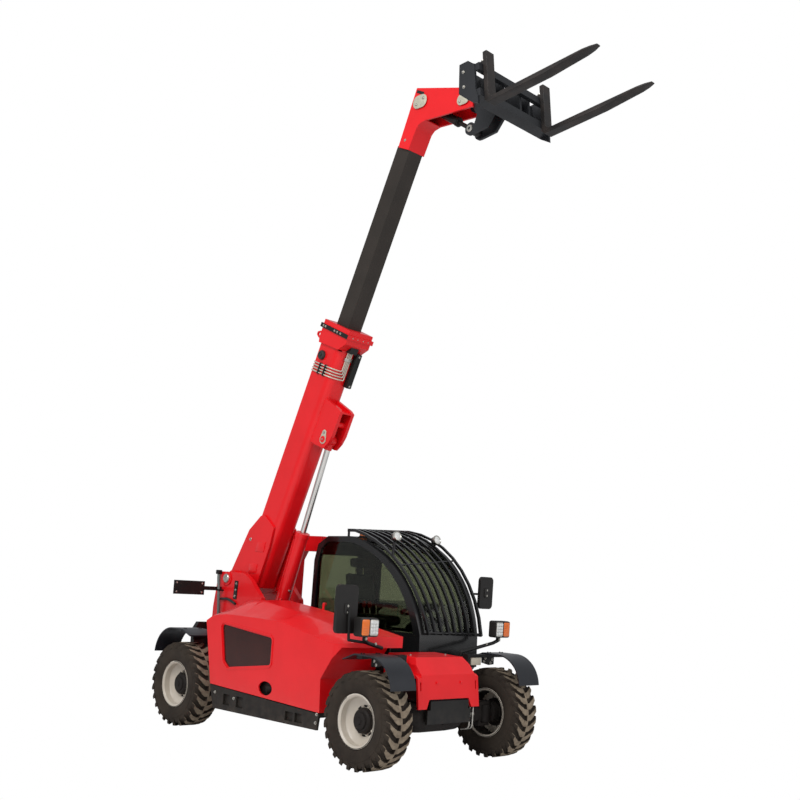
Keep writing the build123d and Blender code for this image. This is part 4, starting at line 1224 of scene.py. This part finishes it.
for k, y in enumerate(front["pipes"]):
    pipe("frontPipe%d" % k, "zincSteel", [spot(x, y, z) for x, z in front["pipeRun"]], 0.008, 0.03)
    x, z = front["nutAt"]
    turned("frontPipeNut%d" % k, "zincSteel", spot(x, y, z), (0, 0, -1), front["nut"], 6, 20.0)
box("relayBox", "labelBeige", *spots(*front["relayBox"]), 0.006)

# Fenders: a stay plate under each, with its bolts, and bolts on top
stay = {
    "x": 1.300,
    "thick": 0.006,
    "outline": ((0.595, 0.915), (0.77, 0.915), (0.77, 0.838), (0.70, 0.832), (0.60, 0.855)),
    "bolts": ((0.648, 0.895), (0.629, 0.866), (0.744, 0.885), (0.72, 0.852)),
    "topBolts": ((1.285, 0.70), (1.285, 0.87), (1.315, 0.70), (1.315, 0.87)),
    "top": 0.945,
}
for side, way in sides:
    for end, fore in (("Rear", -1), ("Front", 1)):
        outline = [spot(fore * stay["x"], way * y, z) for y, z in stay["outline"]]
        run = Vector((fore * stay["thick"], 0, 0))
        plate("fenderStay" + side + end, "blackPaint", outline, run, 0.002)
        boltX = fore * (stay["x"] + stay["thick"])
        addBolts("fenderStayBolts" + side + end, [spot(boltX, way * y, z) for y, z in stay["bolts"]],
                 (fore, 0, 0), 0.008)
        addBolts("fenderTopBolts" + side + end,
                 [spot(fore * x, way * y, stay["top"]) for x, y in stay["topBolts"]], upward, 0.007,
                 "blackPaint")

# Sides: skirt bolts and dark boxes behind its slots as painted shade, exhaust end, steps, tank cap and handles
flank = {
    "skirtBolts": ((-0.40, -0.880, 0.376), (0.79, -0.880, 0.388), (0.782, -0.880, 0.316),
                   (-0.70, -0.880, 0.40)),
    "pockets": (("Rear", -0.41), ("Front", 0.484)),
    "pocketHalf": 0.17,
    "pocketY": (-0.8578, -0.846),
    "pocketZ": (0.272, 0.412),
    "exhaust": ((0.16, -0.74, 0.545), (0.10, -0.80, 0.53), (0.05, -0.852, 0.512)),
    "exhaustRim": ((-0.010, 0.036), (0.003, 0.040), (0.006, 0.037), (0.002, 0.032), (-0.001, 0.0)),
    "exhaustShield": ((-0.09, -0.832, 0.40), (0.19, -0.824, 0.63)),
    "tread": {"count": 11, "start": 0.14, "pitch": 0.045, "wide": 0.015, "y": (0.71, 0.855),
              "z": (0.480, 0.492)},
    "tankCapAt": (-0.45, 0.850, 0.62),
    "tankCap": ((-0.002, 0.050), (0.016, 0.050), (0.022, 0.045), (0.022, 0.018), (0.030, 0.016),
                (0.031, 0.0)),
    "doorHandle": (-0.22, 0.838, 1.055),
    "grabHandle": ((-0.52, 0.842, 1.25), (-0.52, 0.875, 1.25), (-0.52, 0.875, 1.60), (-0.52, 0.842, 1.60)),
}
addBolts("skirtBolts", spots(*flank["skirtBolts"]), (0, -1, 0), 0.009)
# Dark boxes close the skirt's slots from behind and stand in for the shade inside them: painted shade
for end, x in flank["pockets"]:
    places = zip((x - flank["pocketHalf"], x + flank["pocketHalf"]), flank["pocketY"], flank["pocketZ"])
    box("skirtShadePocket" + end, "skirtSteel", *spots(*places), 0.002)
exhaust = spots(*flank["exhaust"])
pipe("exhaustEnd", "castIron", exhaust, 0.036, 0.05, 5)
turned("exhaustRim", "castIron", exhaust[-1], exhaust[-1] - exhaust[-2], flank["exhaustRim"], 40)
box("exhaustShield", "mouldedBlack", *spots(*flank["exhaustShield"]), 0.003)
treads = []
for k in range(flank["tread"]["count"]):
    x = flank["tread"]["start"] + flank["tread"]["pitch"] * k
    places = zip((x, x + flank["tread"]["wide"]), flank["tread"]["y"], flank["tread"]["z"])
    treads.append(box("bar", "zincSteel", *spots(*places), 0.002, 1, body=None))
joinPieces("stepTreads", treads, "chassis")
turned("tankCap", "mouldedBlack", spot(*flank["tankCapAt"]), (0, 1, 0), flank["tankCap"], 40)
pipe("grabHandle", "blackPaint", spots(*flank["grabHandle"]), 0.010, 0.02)
panel("doorHandle", "zincSteel", spot(*flank["doorHandle"]), (0, 1, 0), (0.13, 0.024), 0.010, 0.010, 0.003,
      body="door")
print("front and sides")

# Tower: bracket with three bolts, the plate's bolts, the hose at the rear edge and the tow pin
tower = {
    "bracket": (-1.356, -0.270, 1.342),
    "bracketBolts": ((-1.363, -0.276, 1.278), (-1.3555, -0.276, 1.342), (-1.348, -0.276, 1.406)),
    "plateBolts": ((-1.596, -0.82, 1.295), (-1.596, -0.82, 1.385), (-1.596, -0.52, 1.295),
                   (-1.596, -0.52, 1.385)),
    "hoseDiameter": 0.030,
    "hoseRoute": ((-1.644, -0.296, 1.505), (-1.630, -0.306, 1.455), (-1.604, -0.314, 1.375),
                  (-1.590, -0.316, 1.295), (-1.584, -0.312, 1.200), (-1.584, -0.302, 1.080)),
    "gland": ((-1.672, -0.318, 1.490), (-1.620, -0.268, 1.535)),
    "clip": ((-1.625, -0.334, 1.318), (-1.572, -0.268, 1.336)),
    "line": ((-1.60, -0.285, 1.235), (-1.46, -0.287, 1.248), (-1.33, -0.285, 1.20)),
    "towPinAt": (-1.88, 0, 0.582),
    "towPin": ((-0.11, 0.0), (-0.108, 0.012), (0.001, 0.0145), (0.002, 0.026), (0.014, 0.026), (0.018, 0.020),
               (0.018, 0.0)),
}
panel("towerBracket", "blackPaint", spot(*tower["bracket"]), (0, -1, 0), (0.06, 0.19), 0.01, 0.006,
      up=(0.05, 0, 1))
addBolts("towerBracketBolts", spots(*tower["bracketBolts"]), (0, -1, 0), 0.009)
addBolts("plateBolts", spots(*tower["plateBolts"]), forward, 0.006)
hose("towerHose", "greyHose", spots(*tower["hoseRoute"]), tower["hoseDiameter"])
box("towerHoseGland", "blackPaint", *spots(*tower["gland"]), 0.008)
box("towerHoseClip", "blackPaint", *spots(*tower["clip"]))
pipe("towerLine", "hoseRubber", spots(*tower["line"]), 0.013, 0.05)
turned("towPin", "zincSteel", spot(*tower["towPinAt"]), upward, tower["towPin"], 24)

# Wheel bolts, valves and hub caps
wheelFace = {
    "bolts": 10,
    "circle": 0.118,
    "boltFace": 0.026,
    "boltSize": 0.010,
    "valve": ((0.125, 0.034, 0.125), (0.117, 0.069, 0.117)),
    "cap": 0.076,
    "capProfile": ((-0.002, 0.070), (0.012, 0.066), (0.018, 0.052), (0.018, 0.030), (0.026, 0.026),
                   (0.028, 0.0)),
}
for name in wheelNames:
    hub = middle("tyre_" + name)
    out = 1 if hub.y > 0 else -1
    places = []
    for k in range(wheelFace["bolts"]):
        turn = 2 * math.pi * k / wheelFace["bolts"]
        reach = wheelFace["circle"]
        places.append(hub + Vector((reach * math.cos(turn), out * wheelFace["boltFace"],
                                    reach * math.sin(turn))))
    addBolts(camel("bolts_" + name), places, (0, out, 0), wheelFace["boltSize"], "rimPaint",
             body="wheel_" + name)
    valve = [hub + Vector((x, out * y, z)) for x, y, z in wheelFace["valve"]]
    pipe(camel("valve_" + name), "hoseRubber", valve, 0.005, body="wheel_" + name)
    turned(camel("hub_cap_" + name), "castIron", hub + sideways(out * wheelFace["cap"]), (0, out, 0),
           wheelFace["capProfile"], body="wheel_" + name)
print("tower and wheels")

# Carriage: fork locks, hose block with two pipes, and end bolts; distances run from the forks' heels
carriage = {
    "lock": (-0.035, 0.40, 0.39),
    "lockProfile": ((-0.002, 0.012), (0.018, 0.012), (0.022, 0.020), (0.032, 0.020), (0.036, 0.014),
                    (0.036, 0.0)),
    "block": ((-0.184, 0.27, 0.150), (-0.184, 0.27, 0.205)),
    "blockDepth": 0.06,
    "blockHalf": 0.03,
    "pipes": (0.164, 0.190),
    "pipeRun": ((-0.150, 0.245), (-0.150, 0.19), (-0.182, 0.16)),
    "endBolts": ((-0.175, 0.20), (-0.175, 0.34)),
    "end": 0.5,
}


def carriageSpot(along, up, y):
    return forkHeel + forkAlong * along + forkUp * up + sideways(y)


for side, way in sides:
    along, up, y = carriage["lock"]
    turned("forkLock" + side, "zincSteel", carriageSpot(along, up, way * y), forkUp,
           carriage["lockProfile"], 24, body="fork_right" if way < 0 else "fork_left")
    places = [carriageSpot(along, up, way * carriage["end"]) for along, up in carriage["endBolts"]]
    addBolts("carriageEndBolts" + side, places, (0, way, 0), 0.010, body="carriage")
low, high = (carriageSpot(*place) for place in carriage["block"])
box("couplerBlock", "castIron", low - Vector((0, 0, carriage["blockHalf"])),
    high + Vector((carriage["blockDepth"], 0, carriage["blockHalf"])), 0.006, body="carriage")
for k, y in enumerate(carriage["pipes"]):
    run = [carriageSpot(along, up, y) for along, up in carriage["pipeRun"]]
    pipe("couplerPipe%d" % k, "zincSteel", run, 0.007, 0.015, body="carriage")
print("carriage")

# Engine bay behind the cover's window
bay = {
    "cleanerAt": (-0.42, -0.62, 1.02),
    "filterAt": (0.16, -0.80, 0.68),
    "cleaner": ((0, 0.0), (0.002, 0.075), (0.03, 0.082), (0.25, 0.082), (0.26, 0.075), (0.30, 0.045),
                (0.30, 0.0)),
    "intake": ((-0.12, -0.62, 1.02), (0.02, -0.62, 1.02), (0.06, -0.60, 0.97)),
    # start, step from hose to hose, y and z
    "hoseRun": ((-0.50, 0.10, -0.762, 0.60), (-0.46, 0.10, -0.80, 0.70), (-0.30, 0.12, -0.80, 0.80),
                (-0.1, 0.1, -0.762, 0.86)),
    "hoses": ("greyHose", "hoseRubber", "hoseRubber"),
    "filter": ((0, 0.0), (0.001, 0.036), (0.09, 0.038), (0.10, 0.044), (0.115, 0.044), (0.12, 0.03),
               (0.12, 0.0)),
    "filterHead": ((0.12, -0.84, 0.79), (0.20, -0.755, 0.83)),
}
turned("airCleaner", "mouldedBlack", spot(*bay["cleanerAt"]), forward, bay["cleaner"], 40)
pipe("intakeHose", "hoseRubber", spots(*bay["intake"]), 0.034, 0.05, 5)
for k, finish in enumerate(bay["hoses"]):
    run = [spot(start + step * k, y, z) for start, step, y, z in bay["hoseRun"]]
    pipe("bayHose%d" % k, finish, run, 0.012, 0.06)
turned("bayFilter", "palePlate", spot(*bay["filterAt"]), upward, bay["filter"], 32)
box("bayFilterHead", "castIron", *spots(*bay["filterHead"]), 0.008)

# Wiper on the cab's front glass
wiper = ((0.965, 0.50, 1.10), (0.985, 0.50, 1.12), (0.915, 0.38, 1.40))
pipe("wiperArm", "mouldedBlack", spots(*wiper), 0.006, 0.012)
print("engine bay and wiper")
